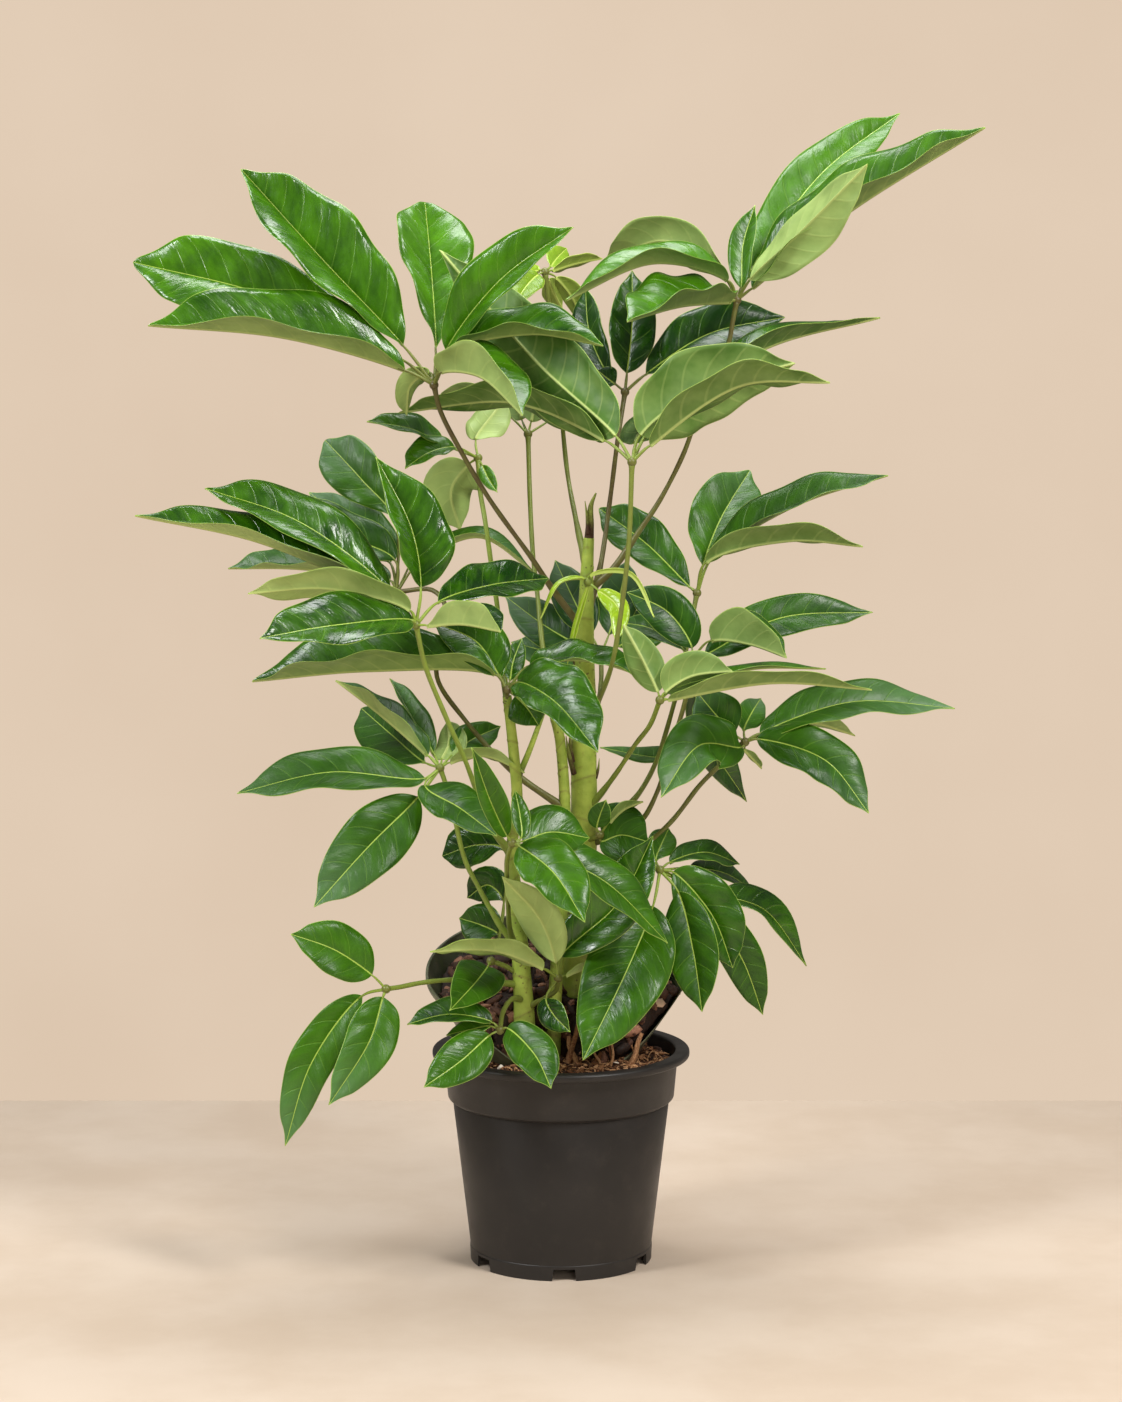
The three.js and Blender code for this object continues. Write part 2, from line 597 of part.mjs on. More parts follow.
// ---- Fronds ----
// Where a petiole's point has no depth of its own, it lies on the even way from the hub to the foot.
function frondSolid(frond, phase) {
  const deeper = (y) => THREE.MathUtils.lerp(frond.foot, y, SPREAD);
  const [hubX, hubH, hubY] = frond.hub;
  const hub = [hubX, hubH, deeper(hubY)];
  const route = frond.petiole.map(([x, h, y], i, all) => {
    const evenly = THREE.MathUtils.lerp(hubY, frond.foot, (i + 1) / all.length);
    return seen(x, h, deeper(y ?? evenly));
  });
  const curve = new THREE.CatmullRomCurve3([seen(...hub), ...route]);
  const radii = [PETIOLE.radius, PETIOLE.radius, PETIOLE.radius, PETIOLE.sheathRadius];
  const steps = Math.max(PETIOLE.leastSteps, frond.petiole.length + 1);
  let solid = solidOf(bentCylinder(curve, radii, PETIOLE.sides, steps));
  const knot = new THREE.OctahedronGeometry(HUB_RADIUS, 0);
  solid = solid.add(solidOf(knot.translate(...seen(...hub).toArray())));
  frond.leaflets.forEach(([base, middle, tip, reach, ...shape], i) => {
    const leaflet = [base, middle, tip, reach * SPREAD, ...shape];
    solid = solid.add(solidOf(leafletGeometry(hub, leaflet, phase + WAVE.perLeaflet * i)));
  });
  return solid;
}

function frondPieces(fatStems) {
  Object.entries(FRONDS).forEach(([name, frond], i) => {
    let solid = frondSolid(frond, WAVE.perFrond * i);
    for (const stem of fatStems) solid = solid.subtract(stem);
    addPiece(name, largestBody(solid), name.endsWith("young") ? YOUNG_LEAF : LEAF);
  });
}

// ---- Pot ----
function potSolid() {
  const p = POT;
  const rimFoot = p.height - p.rimHeight;
  const stepTop = p.height - p.collarHeight + p.stepHeight / 2;
  const stepFoot = stepTop - p.stepHeight;
  const mouth = p.collarTop - p.wall;
  const footInside = p.footRadius - p.wall;
  const underside = [
    [0, p.floorHeight],
    [footInside, p.floorHeight],
    [footInside, 0],
  ];
  const outside = [
    [p.footRadius, 0],
    [p.footRadius + p.footLine, p.floorHeight],
    [p.footRadius, p.floorHeight + p.footLine],
    [p.bodyTop, stepFoot],
    [p.collarBottom, stepTop],
    [p.collarTop, rimFoot],
    [p.rimRadius - p.rimRound / 2, rimFoot],
    [p.rimRadius, rimFoot + p.rimRound],
    [p.rimRadius, p.height - p.rimRound],
    [p.rimRadius - p.rimRound, p.height],
  ];
  const inside = [
    [mouth + p.rimRound, p.height],
    [mouth, p.height - p.rimRound],
    [p.collarBottom - p.wall, stepTop - p.wall],
    [p.bodyTop - p.wall, stepFoot - p.wall],
    [footInside, p.floorHeight + p.floorThickness],
    [0, p.floorHeight + p.floorThickness],
  ];
  let solid = solidOf(lathe([...underside, ...outside, ...inside], p.facets));
  const padHeight = p.floorHeight + p.floorThickness / 2;
  const pad = new THREE.CylinderGeometry(p.padRadius, p.padRadius, padHeight, p.facets);
  solid = solid.add(solidOf(pad.rotateX(Math.PI / 2).translate(0, 0, padHeight / 2)));
  for (let i = 0; i < NOTCH.count; i++) {
    const angle = THREE.MathUtils.degToRad(NOTCH.firstAngle + (360 / NOTCH.count) * i);
    const notch = new THREE.BoxGeometry(NOTCH.width, NOTCH.depth, NOTCH.height * 2);
    solid = solid.subtract(solidOf(notch.translate(0, -p.footRadius, 0).rotateZ(angle)));
  }
  return solid;
}

// ---- Soil, liner and bark ----
// Uneven ground: two crossing waves, between about -1.5 and 1.5.
function unevenness(x, y, waveLength) {
  const broad = Math.sin(x / waveLength) * Math.cos(y / waveLength);
  const fine = Math.sin((x - 2 * y) / waveLength);
  return broad + fine / 2;
}

// A mass that is turned from its side profile and closed by rings of points, which topAt raises.
function unevenMass(side, rings, facets, topAt) {
  const [topRadius, topZ] = side.at(-1);
  const top = [];
  for (let ring = rings - 1; ring >= 0; ring--) top.push([(topRadius * ring) / rings, topZ]);
  const geometry = lathe([...side, ...top], facets);
  const position = geometry.getAttribute("position");
  for (let i = 0; i < position.count; i++) {
    const [x, y, z] = [position.getX(i), position.getY(i), position.getZ(i)];
    if (z === topZ) position.setZ(i, z + topAt(x, y, Math.hypot(x, y) / topRadius));
  }
  return solidOf(geometry);
}

// The soil fills the pot from its floor, and keeps the gap to its wall.
function soilSolid() {
  const p = POT;
  const inset = p.wall + GAP;
  const floor = p.floorHeight + p.floorThickness + GAP;
  const stepTop = p.height - p.collarHeight + p.stepHeight / 2;
  const stepFoot = stepTop - p.stepHeight;
  const mouthFoot = stepTop - p.wall;
  const topShare = (SOIL.top - mouthFoot) / (p.height - p.rimRound - mouthFoot);
  const side = [
    [0, floor],
    [p.footRadius - inset, floor],
    [p.bodyTop - inset, stepFoot - p.wall],
    [p.collarBottom - inset, stepTop],
    [THREE.MathUtils.lerp(p.collarBottom, p.collarTop, topShare) - inset, SOIL.top],
  ];
  return unevenMass(side, SOIL.rings, p.facets, (x, y, share) => {
    const mound = (1 - share ** 2) * SOIL.mound;
    return mound + (1 - share ** 6) * SOIL.relief * unevenness(x, y, SOIL.waveLength);
  });
}

// The liner leans toward the viewer: its own frame has the rim's centre at the origin.
function placeLiner(solid) {
  return solid.rotate([LINER.lean, 0, 0]).translate(LINER.rimCentre);
}

function linerSolid(extra) {
  const l = LINER;
  const topOutside = l.rimRadius + extra;
  const wallInside = l.bottomRadius - l.wall - extra;
  const profile = [
    [wallInside, -l.depth - extra],
    [l.bottomRadius + extra, -l.depth - extra],
    [topOutside - l.lip, -l.lipHeight],
    [topOutside, -l.lipHeight + 1],
    [topOutside, 0],
    [l.rimRadius - l.lip - extra, 0],
    [wallInside, -l.depth - extra],
  ];
  return placeLiner(solidOf(lathe(profile, l.facets)));
}

// All in front of the slanting plane where the liner is split open, as a solid to cut with.
function frontOfSplit() {
  const [leftX, leftY] = LINER.frontLeft;
  const [rightX, rightY] = LINER.frontRight;
  const angle = Math.atan2(rightY - leftY, rightX - leftX);
  const block = new THREE.BoxGeometry(CUT_LENGTH, CUT_LENGTH, CUT_LENGTH);
  block.translate(0, -CUT_LENGTH / 2, 0).rotateZ(angle);
  return solidOf(block.translate((leftX + rightX) / 2, (leftY + rightY) / 2, LINER.rimCentre[2]));
}

function barkSolid() {
  const l = LINER;
  const floor = -l.depth + BARK.aboveFloor;
  const floorRadius = l.bottomRadius - l.wall - BARK.clear;
  const slope = (l.rimRadius - l.lip - l.bottomRadius + l.wall) / l.depth;
  const topRadius = l.rimRadius - l.lip - BARK.clear - slope * BARK.belowRim;
  const side = [[0, floor], [floorRadius, floor], [topRadius, -BARK.belowRim]];
  return placeLiner(unevenMass(side, BARK.rings, l.facets, (x, y, share) => {
    const height = BARK.crown + BARK.relief * unevenness(x, y, BARK.waveLength);
    return (1 - share ** 4) * height;
  }));
}

// The hollow in the front of the bark, round the front stem and the petioles that grow from its foot.
function frontBay() {
  const { x, y, radius, sides } = BARK.bay;
  const bay = new THREE.CylinderGeometry(radius, radius, CUT_LENGTH, sides);
  return solidOf(bay.rotateX(Math.PI / 2).translate(x, y, 0));
}

// ---- Assembly ----
const fatStems = Object.values(STEMS).map((stem) => stemSolid(stem, GAP));
const front = frontOfSplit();
let liner = linerSolid(0).subtract(front);
let soil = soilSolid().subtract(linerSolid(GAP));
let bark = barkSolid().subtract(front).subtract(frontBay()).subtract(soilSolid().translate([0, 0, GAP]));
for (const stem of fatStems) {
  soil = soil.subtract(stem);
  bark = bark.subtract(stem);
  liner = liner.subtract(stem);
}

addPiece("pot", potSolid(), POT_PLASTIC);
addPiece("soil", largestBody(soil), SOIL_FIBRE);
addPiece("root_ball_liner", liner, LINER_PLASTIC);
addPiece("bark_mulch", largestBody(bark), BARK_CHIPS);
stemPieces();
frondPieces(fatStems);

export default plant;
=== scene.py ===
"""A potted umbrella plant: palmate fronds of glossy leaflets on three green stems, in a nursery pot.

The plant is laid out as its solids are. A place is (x, h) on a full-size sheet square to the line of
sight, which passes through the pot's axis: x is right of the axis, h above the pot's front foot, and a
third number, y, is how far behind the axis the point lies. All in millimetres; meshes are in metres.
"""
import math
import random

import bmesh
import bpy
import numpy as np
from mathutils import Euler, Matrix, Vector, noise


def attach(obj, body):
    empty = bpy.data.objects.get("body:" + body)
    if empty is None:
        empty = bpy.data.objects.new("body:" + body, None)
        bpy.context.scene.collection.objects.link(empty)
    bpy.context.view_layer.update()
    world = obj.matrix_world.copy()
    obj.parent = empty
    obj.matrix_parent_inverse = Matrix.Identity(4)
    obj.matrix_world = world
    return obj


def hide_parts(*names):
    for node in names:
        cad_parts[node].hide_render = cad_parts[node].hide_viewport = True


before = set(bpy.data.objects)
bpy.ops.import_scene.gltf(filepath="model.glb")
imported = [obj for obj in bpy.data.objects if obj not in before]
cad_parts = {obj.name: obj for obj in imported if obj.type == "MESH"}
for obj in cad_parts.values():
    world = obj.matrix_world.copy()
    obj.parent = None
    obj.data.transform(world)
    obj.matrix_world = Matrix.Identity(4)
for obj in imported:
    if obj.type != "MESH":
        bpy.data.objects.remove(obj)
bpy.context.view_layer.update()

MM = 0.001

# ---- The view ----
EYE_DISTANCE = 3425
EYE_HEIGHT = 975
SIGHT_TILT = math.radians(6.75)
SHEET_CENTRE_H = 581
PHOTO_HEIGHT = 1402
FOCAL_LENGTH = EYE_DISTANCE / math.cos(SIGHT_TILT)  # in the photograph's pixels, as 1 px is 1 mm
SENSOR = 36
EYE = np.array((0, -EYE_DISTANCE, EYE_HEIGHT), dtype=float)
# The floor's side and how far behind the axis it ends, in metres.
FLOOR_SIZE = 12
FLOOR_EDGE = 0.68

# ---- Driving dimensions, as in the solids ----
POT = {
    "height": 217, "rim_radius": 130, "rim_height": 8, "rim_round": 2.5, "collar_top": 118,
    "collar_bottom": 114.5, "collar_height": 50, "step_height": 4, "body_top": 109.5, "foot_radius": 92,
    "foot_line": 0.5, "wall": 2.5, "floor_height": 14, "floor_thickness": 4, "pad_radius": 22,
}
NOTCH = {"count": 6, "width": 27, "height": 12, "depth": 40, "first_angle": 2}
SOIL = {"top": 203, "mound": 9, "relief": 3.5, "wave_length": 11}
LINER = {
    "rim_centre": (-4, 8, 294), "lean": 17, "rim_radius": 133, "depth": 92, "bottom_radius": 80,
    "wall": 2.4, "lip": 3, "lip_height": 5, "front_left": (-150, -92), "front_right": (150, -14),
}
BARK = {"below_rim": 13, "above_floor": 6, "clear": 2, "crown": 6, "relief": 7, "wave_length": 14,
        "bay": (-8, -78, 62)}
GAP = 0.3  # between pieces that touch

STEP_TOP = POT["height"] - POT["collar_height"] + POT["step_height"] / 2
LINER_INSIDE = LINER["rim_radius"] - LINER["lip"]
LINER_SLOPE = (LINER_INSIDE - LINER["bottom_radius"] + LINER["wall"]) / LINER["depth"]
BARK_RADIUS = LINER_INSIDE - BARK["clear"] - LINER_SLOPE * BARK["below_rim"]
BARK_FLOOR = -LINER["depth"] + BARK["above_floor"]

PETIOLE_RADIUS = 2.4
SHEATH_RADIUS = 4.2
SHORT_LEAFLET = 95  # a shorter one has a small blade, and so has a narrow one
NARROW_LEAFLET = 45
PEAK = 0.46  # where along a blade it is widest, as a share of its length from the base
SPREAD = 1.5  # how much deeper a frond reaches, from its petiole's foot, than its list says

# ---- What is finer than in the solids ----
POT_EDGES = {"rim_fillet": 1.8, "collar_round": 3.2, "foot_edge": 0.6, "notch_top_width": 21}
PETIOLULE_RADIUS = 1.6
BLADE_THICKNESS = 0.9
EDGE_THICKNESS = 0.4
# A blade's rows, its columns from midrib to edge, how many degrees each half bows, how high its margin
# waves as a share of its width, how many waves it has, how far it bulges between its veins, and how thick
# its stalk is beside that of a large leaflet.
LARGE_BLADE = {"rows": 54, "columns": 8, "bow": 15, "wave": 0.04, "waves": (2.2, 3.4), "bulge": 0.8,
               "stalk": 1}
SMALL_BLADE = {"rows": 26, "columns": 5, "bow": 9, "wave": 0.028, "waves": (1.6, 2.6), "bulge": 0.35,
               "stalk": 0.75}
TWIST = 9
VEIN_SPACING = 23
GROOVE = {"depth": 0.5, "width": 1.3}
RIB = {"height": 1.9, "width": 1.5}
HUB_RADIUS = 4.6
SCARS = {"first": (20, 45), "below_top": 8, "dip": 7, "line": 1.1, "height": 0.55}
SWELL = {"share": 0.021, "length": 17}
CRUMBS = {"relief": 1.6, "size": 6}
# What the bark's lumps lie on: how far it is under the bark's top, its roughness, and its mesh's grid.
BARK_BED = {"depth": 3, "relief": 2.2, "sink": 1.0, "clod_size": 9, "grid": 4}
# Loose lumps: how many, half their lengths, how far these vary, their widths and heights as shares of
# their length, how far they tilt in radians, and their tones.
SOIL_CHUNKS = {"count": 2600, "long_halves": (1.2, 1.6, 2.2, 3.2, 5.0), "vary": (0.8, 1.2),
               "widths": (0.25, 0.6), "heights": (0.15, 0.35), "tilt": 0.7,
               "tones": (0.1, 0.3, 0.45, 0.6, 0.95)}
BARK_LUMPS = {"count": 620, "long_halves": (3, 4.5, 6, 8.5, 11), "vary": (0.8, 1.15),
              "widths": (0.4, 0.75), "heights": (0.2, 0.4), "tilt": 0.5, "tones": (0.15, 0.3, 0.45, 0.6, 0.8)}
SOIL_FIBRES = {"count": 620, "lengths": (9, 30), "bend": 0.9, "radii": (0.35, 0.8),
               "tones": (0.25, 0.5, 0.7, 0.9)}
# Roots that stand at the foot of the bark: x, y, height and how far each leans to the right.
ROOTS = [(6, -46, 46, 10), (15, -45, 34, -9), (38, -52, 22, -6), (47, -51, 44, 6), (56, -48, 30, -12),
         (68, -45, 36, 12), (-24, -52, 26, 8), (78, -42, 26, -8), (30, -50, 18, 9)]

# Each stem's points and radii, the steps and sides of its mesh, and how far apart its leaf scars may lie.
STEMS = {
    "stem_main": {
        "path": [(12, 180, 0), (14, 282, 0), (20, 380, 0), (23, 472, 0), (23, 560, 0), (24, 642, 0),
                 (26, 708, 0), (28, 744, 0)],
        "radii": [15, 15, 14.5, 14, 13, 12, 8.2, 5.2],
        "mesh": (420, 44), "scars_apart": (26, 52),
    },
    "stem_slim": {
        "path": [(-8, 180, -24), (-6, 282, -24), (1, 382, -23), (4, 472, -22), (-1, 542, -20),
                 (-6, 564, -18)],
        "radii": [7, 7, 6.5, 6, 5.5, 5],
        "mesh": (300, 28), "scars_apart": (22, 40),
    },
    "stem_front": {
        "path": [(-35, 180, -42), (-38, 290, -42), (-45, 382, -44), (-49, 432, -46), (-44, 482, -50),
                 (-47, 527, -54), (-54, 586, -58)],
        "radii": [11.5, 11, 9, 7, 5.5, 5.5, 4.5],
        "mesh": (300, 28), "scars_apart": (22, 40),
    },
}
# Thin growths on a stem: points, radii, and which of the stem's finishes.
BARE, DRIED = 0, 1
TWIGS = {
    "stem_front": [([(-45, 500, -50), (-31, 533, -44), (-14, 580, -38)], [3.4, 2.8, 2.2], BARE)],
    "stem_main": [([(13, 508, -9), (8, 527, -13), (5, 546, -16)], [3, 2.2, 0.4], DRIED),
                  ([(12, 520, -8), (9, 540, -11), (11, 556, -14)], [2.4, 1.8, 0.3], DRIED)],
}
BUD = {"path": [(28, 741, 0), (29, 758, -1), (30, 776, -2), (35, 789, -3)], "radii": [4.6, 3.8, 2.6, 0.8]}
BUD_SCALE = {"path": [(27, 748, -4), (26, 765, -5), (24, 781, -5)], "radii": (2.6, 0.4)}
# Dried scales on the main stem: share of the way up, way that they face in radians, and height.
DRY_SCALES = [(0.62, 2.6, 22), (0.66, 3.0, 26), (0.7, 2.7, 18), (0.58, 0.4, 20), (0.78, 2.9, 16)]

YOUNG = ("frond_crown_young", "tuft_young")
# A frond's look is how light its leaves are above and below (0 dark, 1 light), how green its stalks are
# (0 brown, 1 green), and how dull its leaves are (0 glossy, 1 dull; a dull leaf also takes a painted sheen
# towards its tip). Its foot is how far behind the axis its petiole meets a stem, 0 if it isn't given.
# A leaflet has its base, middle and tip, how much further back than the hub its tip lies, its width, how
# far its upper face is turned from the viewer about its midrib, how far both halves are folded up, and
# where it is widest, as a share of its length, if that isn't PEAK.
FRONDS = {
    "frond_upper_left": dict(
        hub=(-127, 897, -40), look=(0.42, 0.6, 0.12, 0.15),
        petiole=[(-121, 872), (-98, 827), (-71, 782), (-28, 722), (-8, 692), (24, 650)],
        leaflets=[
            ((-161, 924), (-293, 986), (-428, 1020), 25, 86, 25, 14, 0.66),
            ((-156, 912), (-276, 945), (-413, 957), -40, 100, 60, 45, 0.5),
            ((-158, 937), (-236, 1020), (-320, 1113), 30, 102, 34, 34, 0.52),
            ((-125, 932), (-129, 1004), (-136, 1080), 90, 88, 24, 24, 0.7),
            ((-115, 932), (-61, 1002), (12, 1055), -30, 66, -35, 32, 0.5),
            ((-106, 932), (-31, 949), (42, 937), -45, 70, -70, 35),
            ((-121, 910), (-82, 907), (-38, 867), -90, 74, -80, 50, 0.5),
            ((-131, 910), (-151, 897), (-155, 867), 20, 34, 130, 10)],
    ),
    "frond_front_top": dict(
        hub=(71, 820, -110), look=(0.32, 0.15, 0.5, 0.4),
        petiole=[(68, 742, -106), (61, 677, -96), (52, 622, -80), (42, 592, -58), (25, 560, 0)],
        leaflets=[
            ((44, 842), (-46, 880), (-162, 870), 115, 70, 115, 8),
            ((55, 846), (-21, 917), (-121, 1032), 112, 80, 160, 10),
            ((79, 847), (139, 892), (234, 919), 30, 84, -155, 10),
            ((89, 837), (179, 897), (269, 900), -30, 66, -115, 15),
            ((89, 852), (199, 932), (319, 965), 120, 60, -80, 30),
            ((74, 838), (82, 856), (94, 880), 100, 44, 150, 10)],
    ),
    "frond_top_right": dict(
        hub=(176, 982, 10), look=(0.5, 0.48, 0.2, 0.3),
        petiole=[(172, 962), (167, 937), (135, 862), (122, 827), (99, 782), (79, 752), (51, 712, 0),
                 (28, 692, 3)],
        leaflets=[
            ((191, 994), (287, 1070), (424, 1155), -20, 90, -64, 40, 0.5),
            ((184, 1002), (259, 1107), (339, 1169), 110, 62, -30, 15),
            ((189, 1002), (239, 1049), (307, 1118), -60, 60, 152, 28, 0.5),
            ((180, 994), (182, 1037), (194, 1077), 20, 30, -20, 25),
            ((167, 1002), (94, 1020), (4, 982), -30, 66, 80, 30),
            ((164, 1004), (104, 1042), (44, 1020), 60, 62, 135, 10, 0.55),
            ((170, 981), (122, 977), (66, 961), -80, 88, 74, 34, 0.5)],
    ),
    "frond_crown_young": dict(
        hub=(-16, 1010, 110), look=(0.5, 0.3, 0.5, 0.6),
        petiole=[(-8, 942, 114), (-1, 882, 112), (6, 812, 100), (14, 767, 66), (25, 716, 4)],
        leaflets=[
            ((-9, 1012), (14, 1019), (41, 1024), 40, 26, -120, 10),
            ((-22, 1008), (-33, 998), (-46, 979), -30, 32, 20, 14),
            ((-13, 1003), (-8, 990), (1, 973), 30, 24, 160, 10),
            ((-5, 1005), (12, 984), (26, 949), 20, 30, -140, 10),
            ((-10, 1016), (-4, 1024), (6, 1034), 60, 26, 0, 10),
            ((-22, 1012), (-34, 1007), (-48, 990), 20, 24, 60, 10)],
    ),
    "frond_back_slim": dict(
        hub=(-33, 848, 50), look=(0.3, 0.4, 0.6, 0.4), foot=-18,
        petiole=[(-31, 782), (-28, 727), (-23, 682), (-18, 632), (-6, 560)],
        leaflets=[
            ((-53, 867), (-85, 884), (-125, 884), 60, 44, 120, 10),
            ((-39, 862), (-46, 897), (-61, 937), 90, 44, 170, 10),
            ((-30, 860), (-21, 902), (-13, 942), 30, 44, -170, 10),
            ((-11, 862), (24, 887), (44, 922), 40, 44, -150, 10)],
    ),
    "frond_back_dark": dict(
        hub=(64, 890, 40), look=(0.15, 0.2, 0.15, 0.4),
        petiole=[(56, 837), (49, 782, 34), (39, 714, 20), (27, 670, 2)],
        leaflets=[
            ((66, 909), (71, 957), (71, 1012), 20, 50, 10, 12),
            ((50, 903), (29, 947), (24, 997), 40, 40, -30, 12),
            ((54, 898), (46, 904), (36, 912), 10, 26, 0, 10),
            ((85, 908), (147, 948), (224, 965), 30, 62, -30, 15, 0.52)],
    ),
    "frond_small_left": dict(
        hub=(-83, 824, 5), look=(0.45, 0.6, 0.85, 0.4), foot=-57,
        petiole=[(-81, 792), (-76, 762), (-69, 712, -22), (-62, 662, -28), (-58, 612, -28), (-52, 568, -56)],
        leaflets=[
            ((-116, 837), (-149, 853), (-194, 861), -20, 40, 60, 20),
            ((-106, 835), (-131, 830), (-156, 814), -35, 40, 50, 20),
            ((-85, 842), (-72, 862), (-56, 882), 40, 44, 150, 10),
            ((-92, 818), (-110, 792), (-101, 752), 20, 58, 165, 14),
            ((-79, 817), (-73, 804), (-64, 790), -20, 16, 0, 10)],
    ),
    "frond_mid_left_back": dict(
        hub=(-164, 690, 20), look=(0.2, 0.6, 0.2, 0.9), foot=-22,
        petiole=[(-129, 692), (-116, 677), (-120, 640), (-124, 605), (-96, 562), (-50, 512), (3, 474)],
        leaflets=[
            ((-166, 762), (-199, 802), (-236, 842), 60, 58, 0, 10, 0.66),
            ((-166, 722), (-236, 752), (-319, 792), 10, 62, 35, 12),
            ((-171, 720), (-206, 752), (-252, 790), 60, 66, 30, 12),
            ((-171, 702), (-261, 714), (-333, 714), 40, 60, 65, 35),
            ((-149, 722), (-126, 772), (-99, 814), 60, 34, 30, 12),
            ((-140, 722), (-82, 746), (-26, 710), 0, 34, -75, 25)],
    ),
    "frond_mid_left": dict(
        hub=(-145, 657, -125), look=(0.2, 0.8, 0.85, 0.0), foot=-46,
        petiole=[(-136, 617), (-116, 567, -95), (-96, 522, -76), (-81, 482, -60), (-68, 452, -52),
                 (-49, 428)],
        leaflets=[
            ((-140, 695), (-149, 752), (-185, 825), 20, 74, 32, 32, 0.42),
            ((-171, 692), (-261, 760), (-356, 794), 10, 70, 50, 15, 0.5),
            ((-176, 684), (-296, 739), (-426, 767), -10, 66, 68, 35),
            ((-151, 672), (-231, 694), (-313, 689), -20, 56, 125, 8),
            ((-149, 662), (-226, 657), (-301, 644), -70, 70, 45, 15),
            ((-134, 657), (-100, 659), (-60, 651), -60, 52, -92, 58, 0.68),
            ((-123, 680), (-71, 697), (-12, 704), 90, 56, -45, 15, 0.55)],
    ),
    "frond_back_middle": dict(
        hub=(40, 628, 50), look=(0.15, 0.2, 0.4, 0.9),
        petiole=[(40, 600, 36), (34, 565, 14), (24, 548, 0)],
        leaflets=[
            ((20, 636), (-14, 655), (-56, 686), 30, 50, 20, 10),
            ((30, 648), (12, 684), (-6, 722), 30, 46, 10, 10),
            ((48, 648), (58, 684), (66, 722), 30, 44, -10, 10),
            ((58, 636), (84, 652), (116, 668), 20, 46, -20, 10),
            ((22, 626), (-10, 630), (-50, 640), 20, 44, 30, 10)],
    ),
    "frond_front_middle": dict(
        hub=(-54, 592, -64), look=(0.24, 0.35, 0.25, 0.25), foot=-58,
        petiole=[(-54, 588), (-54, 580)],
        leaflets=[
            ((-66, 608), (-191, 612), (-309, 601), 20, 90, 64, 48, 0.5),
            ((-62, 607), (-84, 640), (-128, 660), 20, 56, 20, 12),
            ((-60, 605), (-82, 640), (-100, 672), 30, 40, 20, 12),
            ((-44, 600), (-8, 582), (37, 530), -60, 78, -30, 30, 0.5),
            ((-31, 617), (29, 622), (94, 602), 20, 56, -68, 20),
            ((-46, 586), (-34, 574), (-22, 556), -12, 42, 0, 10),
            ((-51, 602), (-48, 620), (-39, 644), 30, 24, 0, 10)],
    ),
    "tuft_young": dict(
        hub=(27, 700, -14), look=(0.8, 0.8, 1.0, 0.2),
        petiole=[(27, 699), (26, 698)],
        leaflets=[
            ((29, 707), (69, 708), (94, 665), -30, 9, -120, 10),
            ((24, 704), (-1, 700), (-21, 664), -25, 8, 60, 10),
            ((37, 692), (57, 674), (55, 639), -30, 22, -10, 10),
            ((27, 697), (15, 657), (6, 617), -2, 7, 20, 10)],
    ),
    "frond_low_left": dict(
        hub=(-121, 514, -45), look=(0.28, 0.65, 0.8, 0.7), foot=-43,
        petiole=[(-115, 497), (-106, 462), (-96, 422), (-81, 392), (-61, 357), (-41, 330)],
        leaflets=[
            ((-136, 504), (-231, 510), (-324, 489), -20, 64, 48, 12),
            ((-143, 485), (-191, 437), (-247, 375), -50, 66, 5, 10),
            ((-136, 497), (-101, 474), (-64, 446), -60, 48, -30, 10),
            ((-119, 522), (-112, 538), (-113, 562), 40, 38, 150, 10),
            ((-108, 528), (-90, 542), (-60, 556), 50, 36, -20, 10),
            ((-133, 527), (-180, 568), (-225, 602), 50, 46, 75, 40),
            ((-128, 530), (-152, 570), (-171, 604), 80, 34, 50, 35),
            ((-137, 520), (-168, 546), (-200, 574), 110, 62, 10, 10, 0.55),
            ((-111, 520), (-76, 527), (-36, 510), -5, 34, -110, 10)],
    ),
    "frond_front_low": dict(
        hub=(-49, 439, -105), look=(0.36, 0.7, 0.6, 0.4), foot=-43,
        petiole=[(-54, 422), (-53, 382), (-51, 352), (-42, 325)],
        leaflets=[
            ((-54, 446), (-71, 482), (-89, 534), -50, 32, 25, 25),
            ((-40, 444), (-41, 467), (-46, 492), 20, 20, 20, 10),
            ((-42, 436), (-8, 410), (24, 360), -45, 60, -25, 10),
            ((-38, 441), (-11, 450), (29, 444), 20, 60, -35, 10),
            ((-36, 436), (42, 402), (107, 339), 10, 56, -45, 12)],
    ),
    "frond_hanging_left": dict(
        hub=(-175, 293, -95), look=(0.4, 0.4, 0.75, 0.75), foot=-42,
        petiole=[(-161, 295), (-141, 299), (-113, 302), (-76, 301), (-39, 297)],
        leaflets=[
            ((-189, 307), (-226, 332), (-270, 348), -20, 56, 20, 12),
            ((-199, 286), (-249, 220), (-276, 136), -10, 46, 10, 10),
            ((-178, 285), (-191, 242), (-232, 177), -40, 52, -10, 10)],
    ),
    "frond_over_rim": dict(
        hub=(-61, 252, -100), look=(0.3, 0.4, 0.5, 0.5), foot=-42,
        petiole=[(-58, 270), (-49, 283), (-37, 282)],
        leaflets=[
            ((-69, 260), (-111, 268), (-154, 258), 0, 40, 50, 20),
            ((-71, 247), (-99, 222), (-137, 195), -30, 46, 10, 10),
            ((-54, 254), (-26, 227), (-10, 194), -45, 44, -10, 10),
            ((-71, 256), (-93, 252), (-115, 247), 5, 24, 40, 10)],
    ),
    "frond_base": dict(
        hub=(-3, 304, -60), look=(0.28, 0.95, 0.5, 0.15), foot=-42,
        petiole=[(-5, 292), (-16, 284), (-26, 279), (-36, 272)],
        leaflets=[
            ((-18, 314), (-66, 332), (-131, 331), -50, 46, 115, 10),
